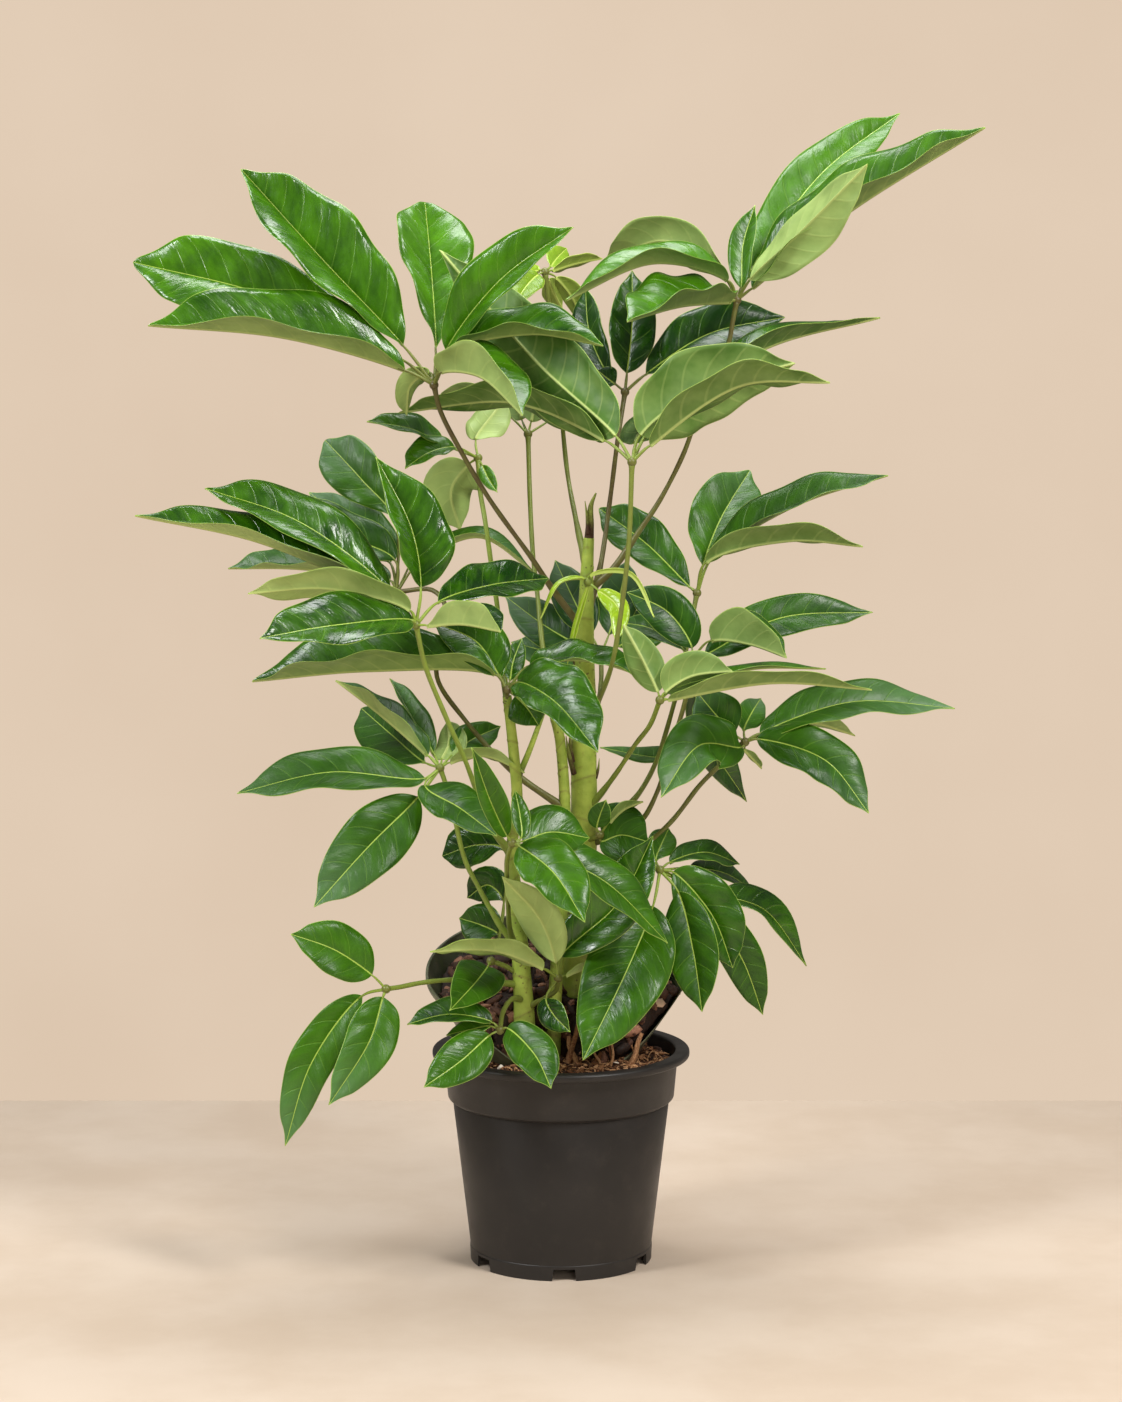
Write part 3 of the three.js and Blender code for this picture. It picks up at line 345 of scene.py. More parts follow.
            ((-5, 320), (-21, 363), (-59, 406), -30, 42, 170, 10, 0.45),
            ((0, 325), (57, 379), (92, 446), 5, 62, -10, 25),
            ((4, 307), (24, 314), (42, 314), 20, 22, -110, 10),
            ((-15, 284), (-8, 268), (9, 250), -20, 30, 20, 10)],
    ),
    "frond_low_right": dict(
        hub=(99, 412, -20), look=(0.3, 0.3, 0.7, 0.4),
        petiole=[(80, 419, -14), (50, 408, -6), (21, 390, 0)],
        leaflets=[
            ((92, 376), (66, 312), (22, 222), -60, 86, 5, 10),
            ((117, 390), (132, 332), (141, 270), -30, 54, 10, 10),
            ((112, 410), (151, 367), (172, 314), 0, 62, -10, 10),
            ((129, 392), (179, 327), (202, 267), 30, 44, -10, 10),
            ((158, 388), (204, 372), (246, 316), 50, 44, -50, 20, 0.42),
            ((129, 414), (164, 409), (193, 391), 60, 32, -55, 10),
            ((109, 420), (144, 430), (179, 418), 40, 34, -50, 10),
            ((95, 422), (101, 439), (108, 454), 40, 30, 0, 10)],
    ),
    "frond_dark_right": dict(
        hub=(39, 447, -26), look=(0.2, 0.3, 0.4, 0.6),
        petiole=[(33, 444), (23, 440)],
        leaflets=[
            ((40, 441), (60, 447), (88, 440), -5, 66, -15, 8),
            ((48, 460), (62, 473), (82, 481), 0, 26, -110, 10),
            ((36, 454), (39, 467), (45, 482), -10, 24, 0, 10)],
    ),
    "frond_right_arch": dict(
        hub=(184, 540, -30), look=(0.28, 0.35, 0.3, 0.9),
        petiole=[(159, 517), (139, 497), (107, 457), (64, 424), (22, 408)],
        leaflets=[
            ((199, 549), (289, 580), (394, 574), 30, 60, -50, 12),
            ((196, 543), (264, 522), (308, 469), -30, 56, -30, 10),
            ((181, 535), (139, 537), (100, 485), -50, 62, 25, 10),
            ((173, 548), (156, 566), (136, 590), 5, 52, 0, 10),
            ((183, 552), (190, 568), (200, 584), 50, 30, 0, 10),
            ((201, 547), (249, 560), (294, 547), 60, 34, -120, 10),
            ((184, 534), (191, 525), (201, 514), 20, 16, -120, 10),
            ((139, 527), (94, 525), (39, 535), 110, 36, 60, 10)],
    ),
    "frond_right_back": dict(
        hub=(136, 689, 30), look=(0.24, 0.35, 0.5, 0.8),
        petiole=[(127, 642), (114, 582), (89, 507), (64, 474), (23, 456)],
        leaflets=[
            ((142, 717), (159, 762), (189, 812), 70, 70, 0, 12, 0.55),
            ((151, 724), (234, 777), (327, 807), 10, 56, -60, 30),
            ((145, 720), (229, 742), (302, 736), -30, 52, -115, 20),
            ((129, 695), (87, 737), (38, 774), 35, 54, 25, 12, 0.6)],
    ),
    "frond_right_small": dict(
        hub=(129, 620, -30), look=(0.26, 0.35, 0.3, 0.6),
        petiole=[(125, 585), (111, 537), (97, 492), (79, 460), (50, 444), (22, 438)],
        leaflets=[
            ((150, 642), (188, 639), (226, 625), -40, 66, -92, 66, 0.4),
            ((144, 627), (219, 664), (312, 670), 20, 48, -30, 12),
            ((131, 634), (107, 670), (66, 690), 10, 46, 10, 10),
            ((124, 632), (89, 654), (57, 660), 40, 30, 40, 10),
            ((132, 600), (146, 545), (186, 480), 110, 44, -30, 10)],
    ),
    "frond_right_front": dict(
        hub=(99, 582, -80), look=(0.28, 0.3, 0.7, 0.5),
        petiole=[(89, 557), (74, 537), (54, 507), (24, 468)],
        leaflets=[
            ((97, 590), (82, 622), (62, 658), 10, 36, 165, 10),
            ((104, 590), (130, 606), (172, 611), 0, 52, -150, 10),
            ((107, 583), (209, 600), (311, 593), -10, 50, -105, 15),
            ((111, 592), (189, 614), (265, 614), 40, 36, -80, 10)],
    ),
    "frond_low_back": dict(
        hub=(-62, 340, -12), look=(0.1, 0.3, 0.4, 0.3), foot=-43,
        petiole=[(-54, 334), (-42, 326)],
        leaflets=[
            ((-58, 382), (-73, 397), (-94, 384), 20, 40, 0, 10),
            ((-63, 348), (-80, 357), (-102, 364), 15, 46, 0, 10),
            ((-57, 432), (-84, 437), (-119, 426), 30, 50, 20, 10, 0.6)],
    ),
    "leaf_front_left": dict(
        hub=(-70, 321, -52), look=(0.24, 0.4, 0.6, 0.6), foot=-42,
        petiole=[(-56, 316), (-39, 306)],
        leaflets=[
            ((-73, 316), (-86, 299), (-111, 272), -84, 50, 10, 10, 0.38)],
    ),
}


# ---- Shapes in numbers ----
def seen(x, h, y):
    """The point that lies at (x, h) on the sheet and y behind the axis."""
    up = (h - SHEET_CENTRE_H) / FOCAL_LENGTH
    ahead = math.cos(SIGHT_TILT) + up * math.sin(SIGHT_TILT)
    rise = -math.sin(SIGHT_TILT) + up * math.cos(SIGHT_TILT)
    run = (y + EYE_DISTANCE) / ahead
    return np.array((run * x / FOCAL_LENGTH, y, EYE_HEIGHT + run * rise))


def unit(vectors):
    return vectors / np.linalg.norm(vectors, axis=-1, keepdims=True)


def lengths(points):
    """How far each point of a line lies from the one before it."""
    return np.linalg.norm(np.diff(points, axis=0), axis=1)


def smooth(low, high, values):
    """0 below low, 1 above high, and an even curve between."""
    share = np.clip((values - low) / (high - low), 0, 1)
    return share * share * (3 - 2 * share)


def circle(count):
    """Even turns round a circle, in radians."""
    return 2 * math.pi * np.arange(count) / count


class Route:
    """A centripetal Catmull-Rom curve through the points, as the solids' curves are."""

    def __init__(self, points):
        self.points = [np.asarray(point, dtype=float) for point in points]

    def point(self, way):
        last = len(self.points) - 1
        place = min(max(way, 0), 1) * last
        i = min(int(place), last - 1)
        t = place - i
        p1, p2 = self.points[i], self.points[i + 1]
        p0 = self.points[i - 1] if i > 0 else 2 * p1 - p2
        p3 = self.points[i + 2] if i + 2 <= last else 2 * p2 - p1
        d0, d1, d2 = (np.linalg.norm(b - a) ** 0.5 for a, b in ((p0, p1), (p1, p2), (p2, p3)))
        leave = ((p1 - p0) / d0 - (p2 - p0) / (d0 + d1) + (p2 - p1) / d1) * d1
        arrive = ((p2 - p1) / d1 - (p3 - p1) / (d1 + d2) + (p3 - p2) / d2) * d1
        square = -3 * p1 + 3 * p2 - 2 * leave - arrive
        cube = 2 * p1 - 2 * p2 + leave + arrive
        return p1 + t * (leave + t * (square + t * cube))

    def points_at(self, ways):
        return np.array([self.point(way) for way in ways])

    def tangents_at(self, ways, step=1e-4):
        return unit(self.points_at(np.minimum(ways + step, 1)) - self.points_at(np.maximum(ways - step, 0)))

    def even(self, steps, start=0.0, end=1.0):
        """Points at even lengths along the curve, from start to end as shares of its length."""
        fine = self.points_at(np.linspace(0, 1, 201))
        run = np.concatenate(([0], np.cumsum(lengths(fine))))
        wanted = np.linspace(start, end, steps + 1) * run[-1]
        return np.stack([np.interp(wanted, run, fine[:, k]) for k in range(3)], axis=1)


def along_stops(values, steps):
    """The values of even stops, read off at even steps between the first and the last."""
    return np.interp(np.linspace(0, len(values) - 1, steps + 1), range(len(values)), values)


class Sheet:
    """A mesh in the making: points, faces with their finish, and two marks for each point.

    On a blade, the mark "place" holds how far along it a point lies, as a share, and its distances from
    the midrib and from the edge, and "kind" holds its count of veins, its tone and how dull it is. On a
    tube, "place" starts with the share of the way along it, and the second value of "kind" is its tone.
    """

    def __init__(self):
        self.points, self.faces, self.finishes, self.place, self.kind = [], [], [], [], []
        self.count = 0

    def add(self, points, faces, finish, place, kind):
        self.points.append(points)
        self.faces += [tuple(int(v) + self.count for v in face) for face in faces]
        self.finishes += [finish] * len(faces) if isinstance(finish, int) else list(finish)
        self.place.append(np.broadcast_to(place, points.shape))
        self.kind.append(np.broadcast_to(kind, points.shape))
        self.count += len(points)

    def make(self, name, finishes):
        mesh = bpy.data.meshes.new(name)
        mesh.from_pydata((np.concatenate(self.points) * MM).tolist(), [], self.faces)
        for finish in finishes:
            mesh.materials.append(finish)
        mesh.polygons.foreach_set("material_index", self.finishes)
        mesh.polygons.foreach_set("use_smooth", [True] * len(self.faces))
        for mark, values in (("place", self.place), ("kind", self.kind)):
            attribute = mesh.attributes.new(mark, "FLOAT_VECTOR", "POINT")
            attribute.data.foreach_set("vector", np.concatenate(values).astype(np.float32).ravel())
        mesh.update()
        return placed(name, mesh)


def placed(name, mesh):
    piece = bpy.data.objects.new(name, mesh)
    bpy.context.scene.collection.objects.link(piece)
    return piece


def grid_faces(rows, columns, closed=False, flip=False):
    """The quads of a grid of points, whose last column meets the first if it is closed."""
    faces = []
    for i in range(rows - 1):
        for j in range(columns if closed else columns - 1):
            k = (j + 1) % columns
            quad = (i * columns + j, i * columns + k, (i + 1) * columns + k, (i + 1) * columns + j)
            faces.append(quad[::-1] if flip else quad)
    return faces


def tube_faces(rows, sides):
    """The faces of a closed tube, whose rings are followed by a point for each end."""
    faces = grid_faces(rows, sides, closed=True)
    first = rows * sides
    for j in range(sides):
        k = (j + 1) % sides
        faces.append((first, k, j))
        faces.append((first + 1, first - sides + j, first - sides + k))
    return faces


def add_tube(sheet, centres, radii, sides, finish, tone, relief=None):
    """A closed tube round the centres. relief, if given, is added to the radius of each point."""
    along = unit(np.gradient(centres, axis=0))
    across = np.cross(along[0], (0.3, 1, 0.2))  # a way that no tube starts along
    normals = []
    for direction in along:
        across = across - direction * np.dot(across, direction)
        across = across / np.linalg.norm(across)
        normals.append(across)
    normals = np.array(normals)
    binormals = np.cross(along, normals)
    turns = circle(sides)
    reach = np.repeat(np.asarray(radii, dtype=float)[:, None], sides, axis=1)
    if relief is not None:
        reach = reach + relief
    outward = np.cos(turns)[:, None] * normals[:, None, :] + np.sin(turns)[:, None] * binormals[:, None, :]
    points = centres[:, None, :] + outward * reach[:, :, None]
    rows = len(centres)
    place = np.zeros((rows, sides, 3))
    place[..., 0] = np.linspace(0, 1, rows)[:, None]
    place[..., 1] = turns
    points = np.concatenate((points.reshape(-1, 3), centres[:1], centres[-1:]))
    place = np.concatenate((place.reshape(-1, 3), ((0, 0, 0), (1, 0, 0))))
    sheet.add(points, tube_faces(rows, sides), finish, place, np.array((0, tone, 0)))


# ---- Leaves ----
TOP, UNDER, STALK = 0, 1, 2


def upper_faces(centres, along, roll):
    """The way that the upper face looks at each point of a midrib."""
    to_viewer = EYE - centres
    facing = unit(to_viewer - along * np.sum(to_viewer * along, axis=1, keepdims=True))
    turn = np.radians(roll)[:, None]
    return facing * np.cos(turn) + np.cross(along, facing) * np.sin(turn)


def slab_faces(rows, columns):
    """The faces of a thin slab, whose lower points follow its upper ones, and the finish of each."""
    below = rows * columns
    upper = grid_faces(rows, columns)
    lower = [tuple(v + below for v in face) for face in grid_faces(rows, columns, flip=True)]
    rim = [i * columns for i in range(rows)]
    rim += [below - columns + j for j in range(1, columns)]
    rim += [i * columns + columns - 1 for i in range(rows - 2, -1, -1)]
    rim += list(range(columns - 2, 0, -1))
    wall = [(a, b, b + below, a + below) for a, b in zip(rim, rim[1:] + rim[:1])]
    return upper + lower + wall, [TOP] * len(upper) + [UNDER] * len(lower) + [TOP] * len(wall)


def stacked(upper, lower):
    return np.concatenate((upper.reshape(-1, 3), lower.reshape(-1, 3)))


def both_halves(left, right):
    """One grid from the halves' grids, which both start at the midrib."""
    return np.concatenate((left[:, :0:-1], right), axis=1)


class Blade:
    """A leaflet's thin blade, with a groove over its midrib and a rib under it.

    Its arrays have a row for each place along the midrib and a column for each place across a half.
    """

    def __init__(self, midrib, width, peak, roll, fold, size, draw):
        self.width = width
        self.size = size
        even = np.linspace(0, 1, size["rows"])
        ways = 0.55 * even + 0.45 * (1 - np.cos(math.pi * even)) / 2
        places = (1 + 2 * ways) / 3  # the midrib's first third is the stalk
        self.centres = midrib.points_at(places)
        self.length = np.sum(lengths(self.centres))
        along = midrib.tangents_at(places)
        self.ups = upper_faces(self.centres, along, roll + draw.uniform(-TWIST, TWIST) * (ways - 0.4))
        self.sides = np.cross(along, self.ups)
        self.ways = ways[:, None]
        self.outline(peak)
        self.spread_columns()
        self.fold_up(fold)

    def outline(self, peak):
        """A power curve that is widest at the peak, as in the solids, with a drawn-out tip."""
        tip_power = 1.4 - 1.2 * peak
        base_power = tip_power * peak / (1 - peak)
        shape = self.ways ** base_power * (1 - self.ways) ** tip_power
        shape = shape / (peak ** base_power * (1 - peak) ** tip_power)
        self.shape = shape * (1 - 0.4 * smooth(0.84, 0.975, self.ways))
        least = np.interp(self.ways, (0, 0.5, 1), (0.9, 0.9, 0.2))
        self.half = np.maximum(self.shape * self.width / 2, least)

    def spread_columns(self):
        """Where the columns lie, from 0 at the midrib to 1 at the edge. Two are kept for the groove."""
        last = self.size["columns"]
        outer = np.clip((np.arange(last + 1) - 2) / (last - 2), 0, 1)
        second = np.minimum(2.4 / self.half, 0.24)
        self.across = second + (1 - second) * outer ** 0.92
        self.across[:, 0] = 0
        self.across[:, 1:2] = np.minimum(0.9 / self.half, 0.1)

    def fold_up(self, fold):
        """Each half rises from the midrib and bends down again to its edge."""
        bow = math.radians(self.size["bow"])
        start = np.radians(fold * (1.1 - 0.2 * self.ways)) + bow
        end = start - 2 * bow * self.across
        self.run = (np.sin(start) - np.sin(end)) / (2 * bow)
        self.rise = (np.cos(end) - np.cos(start)) / (2 * bow)

    def half_points(self, sign, wave_count, draw):
        """The upper and lower points of one half (-1 left, 1 right), their place marks and their veins."""
        ways, half, across = self.ways, self.half, self.across
        taper = smooth(0, 0.16, ways) * (1 - smooth(0.86, 1, ways))
        swing = np.sin(2 * math.pi * wave_count * ways + draw.uniform(0, 2 * math.pi))
        wave = self.size["wave"] * self.width * taper * swing * across ** 1.8
        slant = self.width / 2 / self.length
        vein = ways - slant * self.shape * (0.6 * across + 0.3 * across ** 3)
        vein = vein * max(5, round(self.length / VEIN_SPACING)) + (0.4 if sign > 0 else 0)
        belly = 0.5 - 0.5 * np.cos(2 * math.pi * vein)
        strength = smooth(0.04, 0.4, across) * (1 - smooth(0.72, 1, across))
        bulge = self.size["bulge"] * belly * strength * taper
        rib = across * half
        groove = -GROOVE["depth"] * np.exp(-((rib / GROOVE["width"]) ** 2)) * (1 - 0.5 * ways)
        height = half * self.rise + wave + bulge + groove
        offset = sign * half * self.run
        upper = self.centres[:, None, :] + self.sides[:, None, :] * offset[..., None]
        upper = upper + self.ups[:, None, :] * height[..., None]
        thickness = EDGE_THICKNESS + (BLADE_THICKNESS - EDGE_THICKNESS) * (1 - across)
        ridge = (RIB["height"] - 1.4 * ways) * np.exp(-((rib / RIB["width"]) ** 2))
        lower = upper - self.ups[:, None, :] * (thickness + ridge)[..., None]
        place = np.stack((np.broadcast_to(ways, rib.shape), rib, (1 - across) * half), axis=-1)
        return upper, lower, place, vein

    def add(self, sheet, top_tone, under_tone, dullness, draw):
        wave_count = draw.uniform(*self.size["waves"])
        left = self.half_points(-1, wave_count, draw)
        right = self.half_points(1, wave_count, draw)
        upper, lower, place, vein = (both_halves(*pair) for pair in zip(left, right))
        seed = min(1, max(0, dullness + draw.uniform(-0.15, 0.15)))
        kinds = [np.stack((vein, np.full_like(vein, tone), np.full_like(vein, seed)), axis=-1)
                 for tone in (top_tone, under_tone)]
        faces, finish = slab_faces(*vein.shape)
        sheet.add(stacked(upper, lower), faces, finish, stacked(place, place), stacked(*kinds))


def add_leaflet(sheet, hub, leaflet, tones, dullness, draw):
    """One leaflet: its blade, and the round stalk that runs from the hub to under the blade's foot."""
    base, middle, tip, reach, width, roll, fold, *rest = leaflet
    peak = rest[0] if rest else PEAK
    top_tone, under_tone, stalk_tone = tones
    runs = [math.dist(a, b) for a, b in ((hub[:2], base), (base, middle), (middle, tip))]
    depths = hub[2] + reach * SPREAD * (np.cumsum(runs) / sum(runs))
    midrib = Route([seen(*hub)] + [seen(*place, depth) for place, depth in zip((base, middle, tip), depths)])
    small = runs[1] + runs[2] < SHORT_LEAFLET or width < NARROW_LEAFLET
    size = SMALL_BLADE if small else LARGE_BLADE
    blade = Blade(midrib, width, peak, roll, fold, size, draw)
    blade.add(sheet, top_tone, under_tone, dullness, draw)
    ways = np.linspace(0, 0.36, 14)
    radii = PETIOLULE_RADIUS * (1 + 0.5 * np.exp(-ways / 0.03) - 0.35 * smooth(0.2, 0.36, ways))
    centres = midrib.points_at(ways) - blade.ups[:1] * (0.9 * smooth(0.28, 0.36, ways))[:, None]
    add_tube(sheet, centres, radii * size["stalk"], 10, STALK, stalk_tone)


def add_hub(sheet, centre, tone, rings=8, sides=14):
    """The knot where the leaflets' stalks meet."""
    ways = np.linspace(0, math.pi, rings + 1)
    centres = centre + np.stack((0 * ways, 0 * ways, -HUB_RADIUS * np.cos(ways)), axis=1)
    add_tube(sheet, centres, np.maximum(HUB_RADIUS * np.sin(ways), 0.05), sides, STALK, tone * 0.6)


def frond_piece(name, frond, finishes):
    """A frond: its petiole, which widens to the sheath at its foot, its hub and its leaflets."""
    draw = random.Random(name)
    top_tone, under_tone, stalk_tone, dullness = frond["look"]
    foot = frond.get("foot", 0)
    x, h, y = frond["hub"]
    depths = [y]
    for i, place in enumerate(frond["petiole"]):
        share = (i + 1) / len(frond["petiole"])
        depths.append(place[2] if len(place) == 3 else y + (foot - y) * share)
    depths = [foot + (depth - foot) * SPREAD for depth in depths]
    places = [(x, h)] + [place[:2] for place in frond["petiole"]]
    curve = Route([seen(*place, depth) for place, depth in zip(places, depths)])
    sheet = Sheet()
    steps = 60
    ways = np.linspace(0, 1, steps + 1)
    radii = np.interp(ways, (0, 2 / 3, 1), (PETIOLE_RADIUS, PETIOLE_RADIUS, SHEATH_RADIUS))
    radii = radii + 1.6 * np.exp(-ways / 0.012) + 0.25 * np.sin(ways * 40) * ways
    add_tube(sheet, curve.even(steps), radii, 14, STALK, stalk_tone)
    add_hub(sheet, curve.points[0], stalk_tone)
    for leaflet in frond["leaflets"]:
        shift = draw.uniform(-0.14, 0.14)
        tones = (max(top_tone + shift, 0), max(under_tone + shift, 0), min(1, stalk_tone + 0.25))
        add_leaflet(sheet, (x, h, depths[0]), leaflet, tones, dullness, draw)
    piece = sheet.make(name + "_leaves", finishes)
    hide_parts(name)
    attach(piece, "root")


# ---- Stems ----
def scar_relief(heights, run, turns, draw):
    """How far each leaf scar's line stands out, 0 to 1. A line goes most of the way round the stem."""
    relief = np.zeros((len(run), len(turns)))
    for height in heights:
        facing = draw.uniform(0, 2 * math.pi)
        away = np.abs((turns - facing + math.pi) % (2 * math.pi) - math.pi)
        line = height + SCARS["dip"] * np.cos(away) * draw.uniform(0.3, 1)
        near = np.exp(-(((run[:, None] - line) / SCARS["line"]) ** 2))
        relief = np.maximum(relief, near * (1 - 0.5 * smooth(2.2, 3, away)))
    return relief


def stem_piece(name, stem, finishes):
    draw = random.Random(name)
    curve = Route([seen(*place) for place in stem["path"]])
    steps, sides = stem["mesh"]
    centres = curve.even(steps)
    radii = along_stops(stem["radii"], steps)
    length = np.sum(lengths(centres))
    run = np.linspace(0, 1, steps + 1) * length
    heights = []
    height = draw.uniform(*SCARS["first"])
    while height < length - SCARS["below_top"]:
        heights.append(height)
        height += draw.uniform(*stem["scars_apart"])
    turns = circle(sides)
    scars = scar_relief(heights, run, turns, draw)
    swell = SWELL["share"] * radii[:, None] * np.sin(run[:, None] / SWELL["length"] + turns)
    sheet = Sheet()
    add_tube(sheet, centres, radii, sides, BARE, 1.0, relief=scars * SCARS["height"] + swell)
    kind = sheet.kind[0].copy()
    kind[:scars.size, 0] = scars.ravel()
    sheet.kind[0] = kind
    if name == "stem_main":
        add_bud(sheet)
        add_dry_scales(sheet, curve, radii, draw)
    for points, twig_radii, finish in TWIGS.get(name, []):
        twig = Route([seen(*place) for place in points])
        add_tube(sheet, twig.even(20), along_stops(twig_radii, 20), 12, finish, 1.0)
    piece = sheet.make(name + "_skin", finishes)
    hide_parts(name)
    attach(piece, "root")


def add_bud(sheet):
    """The dried bud: a ridged spike with a shorter scale beside it."""
    steps, sides, ridge_count = 40, 20, 5
    spike = Route([seen(*place) for place in BUD["path"]])
    radii = along_stops(BUD["radii"], steps)
    ridges = 0.12 * np.cos(ridge_count * circle(sides)) * radii[:, None]
    add_tube(sheet, spike.even(steps), radii, sides, DRIED, 0.5, relief=ridges)
    scale = Route([seen(*place) for place in BUD_SCALE["path"]])
    add_tube(sheet, scale.even(14), along_stops(BUD_SCALE["radii"], 14), 8, DRIED, 0.3)


def add_dry_scales(sheet, curve, radii, draw):
    """Thin brown scales that cling to the stem where leaves have dropped."""
    for way, facing, height in DRY_SCALES:
        root = curve.even(1, way, way + 0.02)[0]
        radius = np.interp(way, np.linspace(0, 1, len(radii)), radii)
        out = unit(np.array((math.cos(facing), -0.6 * math.sin(facing), 0)))
        points = [root + out * radius * 0.9, root + out * (radius + 1.5) + (0, 0, height * 0.45),
                  root + out * (radius + draw.uniform(2.5, 5)) + (0, 0, height)]
        add_tube(sheet, Route(points).even(10), 2.2 * np.linspace(1, 0.12, 11), 6, DRIED, 0.1)


# ---- Solids by turning and cutting ----
def turned(name, profile, sides, finish):
    """A closed mesh turned from a profile of (radius, z), which starts and ends on the axis or is a loop."""
    mesh = bpy.data.meshes.new(name)
    shape = bmesh.new()
    rings = []
    for radius, z in profile:
        reach = radius * MM
        turns = circle(sides) if reach > 0 else [0]
        places = [(reach * math.sin(turn), -reach * math.cos(turn), z * MM) for turn in turns]
        rings.append([shape.verts.new(place) for place in places])
    ends_meet = len(rings[0]) > 1
    for low, high in zip(rings, rings[1:] + (rings[:1] if ends_meet else [])):
        for j in range(sides):
            k = (j + 1) % sides
            if len(low) == 1:
                shape.faces.new((low[0], high[k], high[j]))
            elif len(high) == 1:
                shape.faces.new((low[j], low[k], high[0]))
            else:
                shape.faces.new((low[j], low[k], high[k], high[j]))
    bmesh.ops.recalc_face_normals(shape, faces=shape.faces)
    shape.to_mesh(mesh)
    shape.free()
    mesh.materials.append(finish)
    return placed(name, mesh)


def block(name, size, centre, turn=0.0, taper=1.0):
    """A box to cut with, in millimetres, turned about the axis. taper narrows its top."""
    mesh = bpy.data.meshes.new(name)
    shape = bmesh.new()
    bmesh.ops.create_cube(shape, size=1)
    for vert in shape.verts:
        share = taper if vert.co.z > 0 else 1
        place = Vector((vert.co.x * size[0] * share, vert.co.y * size[1], vert.co.z * size[2]))
        place += Vector(centre)
        x = place.x * math.cos(turn) - place.y * math.sin(turn)
        y = place.x * math.sin(turn) + place.y * math.cos(turn)
        vert.co = Vector((x, y, place.z)) * MM
    shape.to_mesh(mesh)
    shape.free()
    return placed(name, mesh)


def apply_modifiers(piece):
    depsgraph = bpy.context.evaluated_depsgraph_get()
    mesh = bpy.data.meshes.new_from_object(piece.evaluated_get(depsgraph))
    piece.modifiers.clear()
    piece.data = mesh


def combine(piece, other, operation):
    """Cuts the other from the piece (DIFFERENCE) or joins it to it (UNION), and clears it away."""
    boolean = piece.modifiers.new("combine", "BOOLEAN")
    boolean.operation = operation
    boolean.solver = "EXACT"
    boolean.object = other
    apply_modifiers(piece)
    bpy.data.objects.remove(other)


def shade(piece, angle):
    """Smooth shading, with an edge kept where faces meet at more than the angle in degrees."""
    for face in piece.data.polygons:
        face.use_smooth = True
    piece.data.set_sharp_from_angle(angle=math.radians(angle))


# ---- Pot ----
def arc(centre, radius, start, end, steps):
    """Points on an arc in the profile, from start to end in degrees."""
    turns = [math.radians(start + (end - start) * i / steps) for i in range(steps + 1)]
    return [(centre[0] + radius * math.cos(turn), centre[1] + radius * math.sin(turn)) for turn in turns]


def pot_profile():
    """The moulding's section, from the middle of its underside round the outside to the middle inside."""
    height, floor_height, wall = POT["height"], POT["floor_height"], POT["wall"]
    foot, edge, line = POT["foot_radius"], POT_EDGES["foot_edge"], POT["foot_line"]
    body, collar_foot, collar = POT["body_top"], POT["collar_bottom"], POT["collar_top"]
    rim, rim_round, fillet = POT["rim_radius"], POT["rim_round"], POT_EDGES["rim_fillet"]
    collar_round = POT_EDGES["collar_round"]
    inside = foot - wall
    mouth = collar - wall
    rim_foot = height - POT["rim_height"]
    step_foot = STEP_TOP - POT["step_height"]
    outer_round = rim_round * 1.2
    return [
        (0, floor_height), (inside, floor_height), (inside, edge), (inside + edge, 0),
        (foot - edge, 0), (foot, edge),
        (foot + line, floor_height), (foot + line * 0.9, floor_height + 0.8), (foot, floor_height + 1.4),
        (body, step_foot - 1.2), (body - 0.35, step_foot - 0.6), (body + 0.3, step_foot),
        *arc((collar_foot - collar_round, STEP_TOP + 0.6), collar_round, -70, 0, 6),
        (collar - 0.15, rim_foot - 2),
        *arc((collar + fillet, rim_foot - 2), fillet, 180, 90, 4),
        *arc((rim - rim_round, rim_foot + rim_round), rim_round, -90, 0, 5),
        *arc((rim - outer_round, height - outer_round), outer_round, 0, 90, 6),
        *arc((mouth + rim_round, height - rim_round), rim_round, 90, 180, 6),
        (collar_foot - wall, STEP_TOP - wall),
        (body - wall, step_foot - wall),
        (inside, floor_height + POT["floor_thickness"]), (0, floor_height + POT["floor_thickness"]),
    ]


def pot_piece(finish):
    pot = turned("pot_moulding", pot_profile(), 144, finish)
    for i in range(NOTCH["count"]):
        turn = math.radians(NOTCH["first_angle"] + 360 / NOTCH["count"] * i)
        size = (NOTCH["width"], NOTCH["depth"], NOTCH["height"] * 2)
        taper = POT_EDGES["notch_top_width"] / NOTCH["width"]
        combine(pot, block("notch", size, (0, -POT["foot_radius"], 0), turn, taper), "DIFFERENCE")
    pad_radius, pad_top = POT["pad_radius"], POT["floor_height"] + 1
    pad = turned("pad", [(0, 0), (pad_radius, 0), (pad_radius, pad_top), (0, pad_top)], 48, finish)
    combine(pot, pad, "UNION")
    shade(pot, 40)
    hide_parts("pot")
    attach(pot, "root")


# ---- Ground: soil, bark and what lies on them ----
def unevenness(x, y, wave_length):
    """Two crossing waves, between about -1.5 and 1.5, as in the solids."""
    broad = math.sin(x / wave_length) * math.cos(y / wave_length)
    return broad + math.sin((x - 2 * y) / wave_length) / 2


def soil_radius(z):
    mouth_foot = STEP_TOP - POT["wall"]
    share = (z - mouth_foot) / (POT["height"] - POT["rim_round"] - mouth_foot)
    outside = POT["collar_bottom"] + (POT["collar_top"] - POT["collar_bottom"]) * share
    return outside - POT["wall"] - GAP


SOIL_RIM = soil_radius(SOIL["top"])


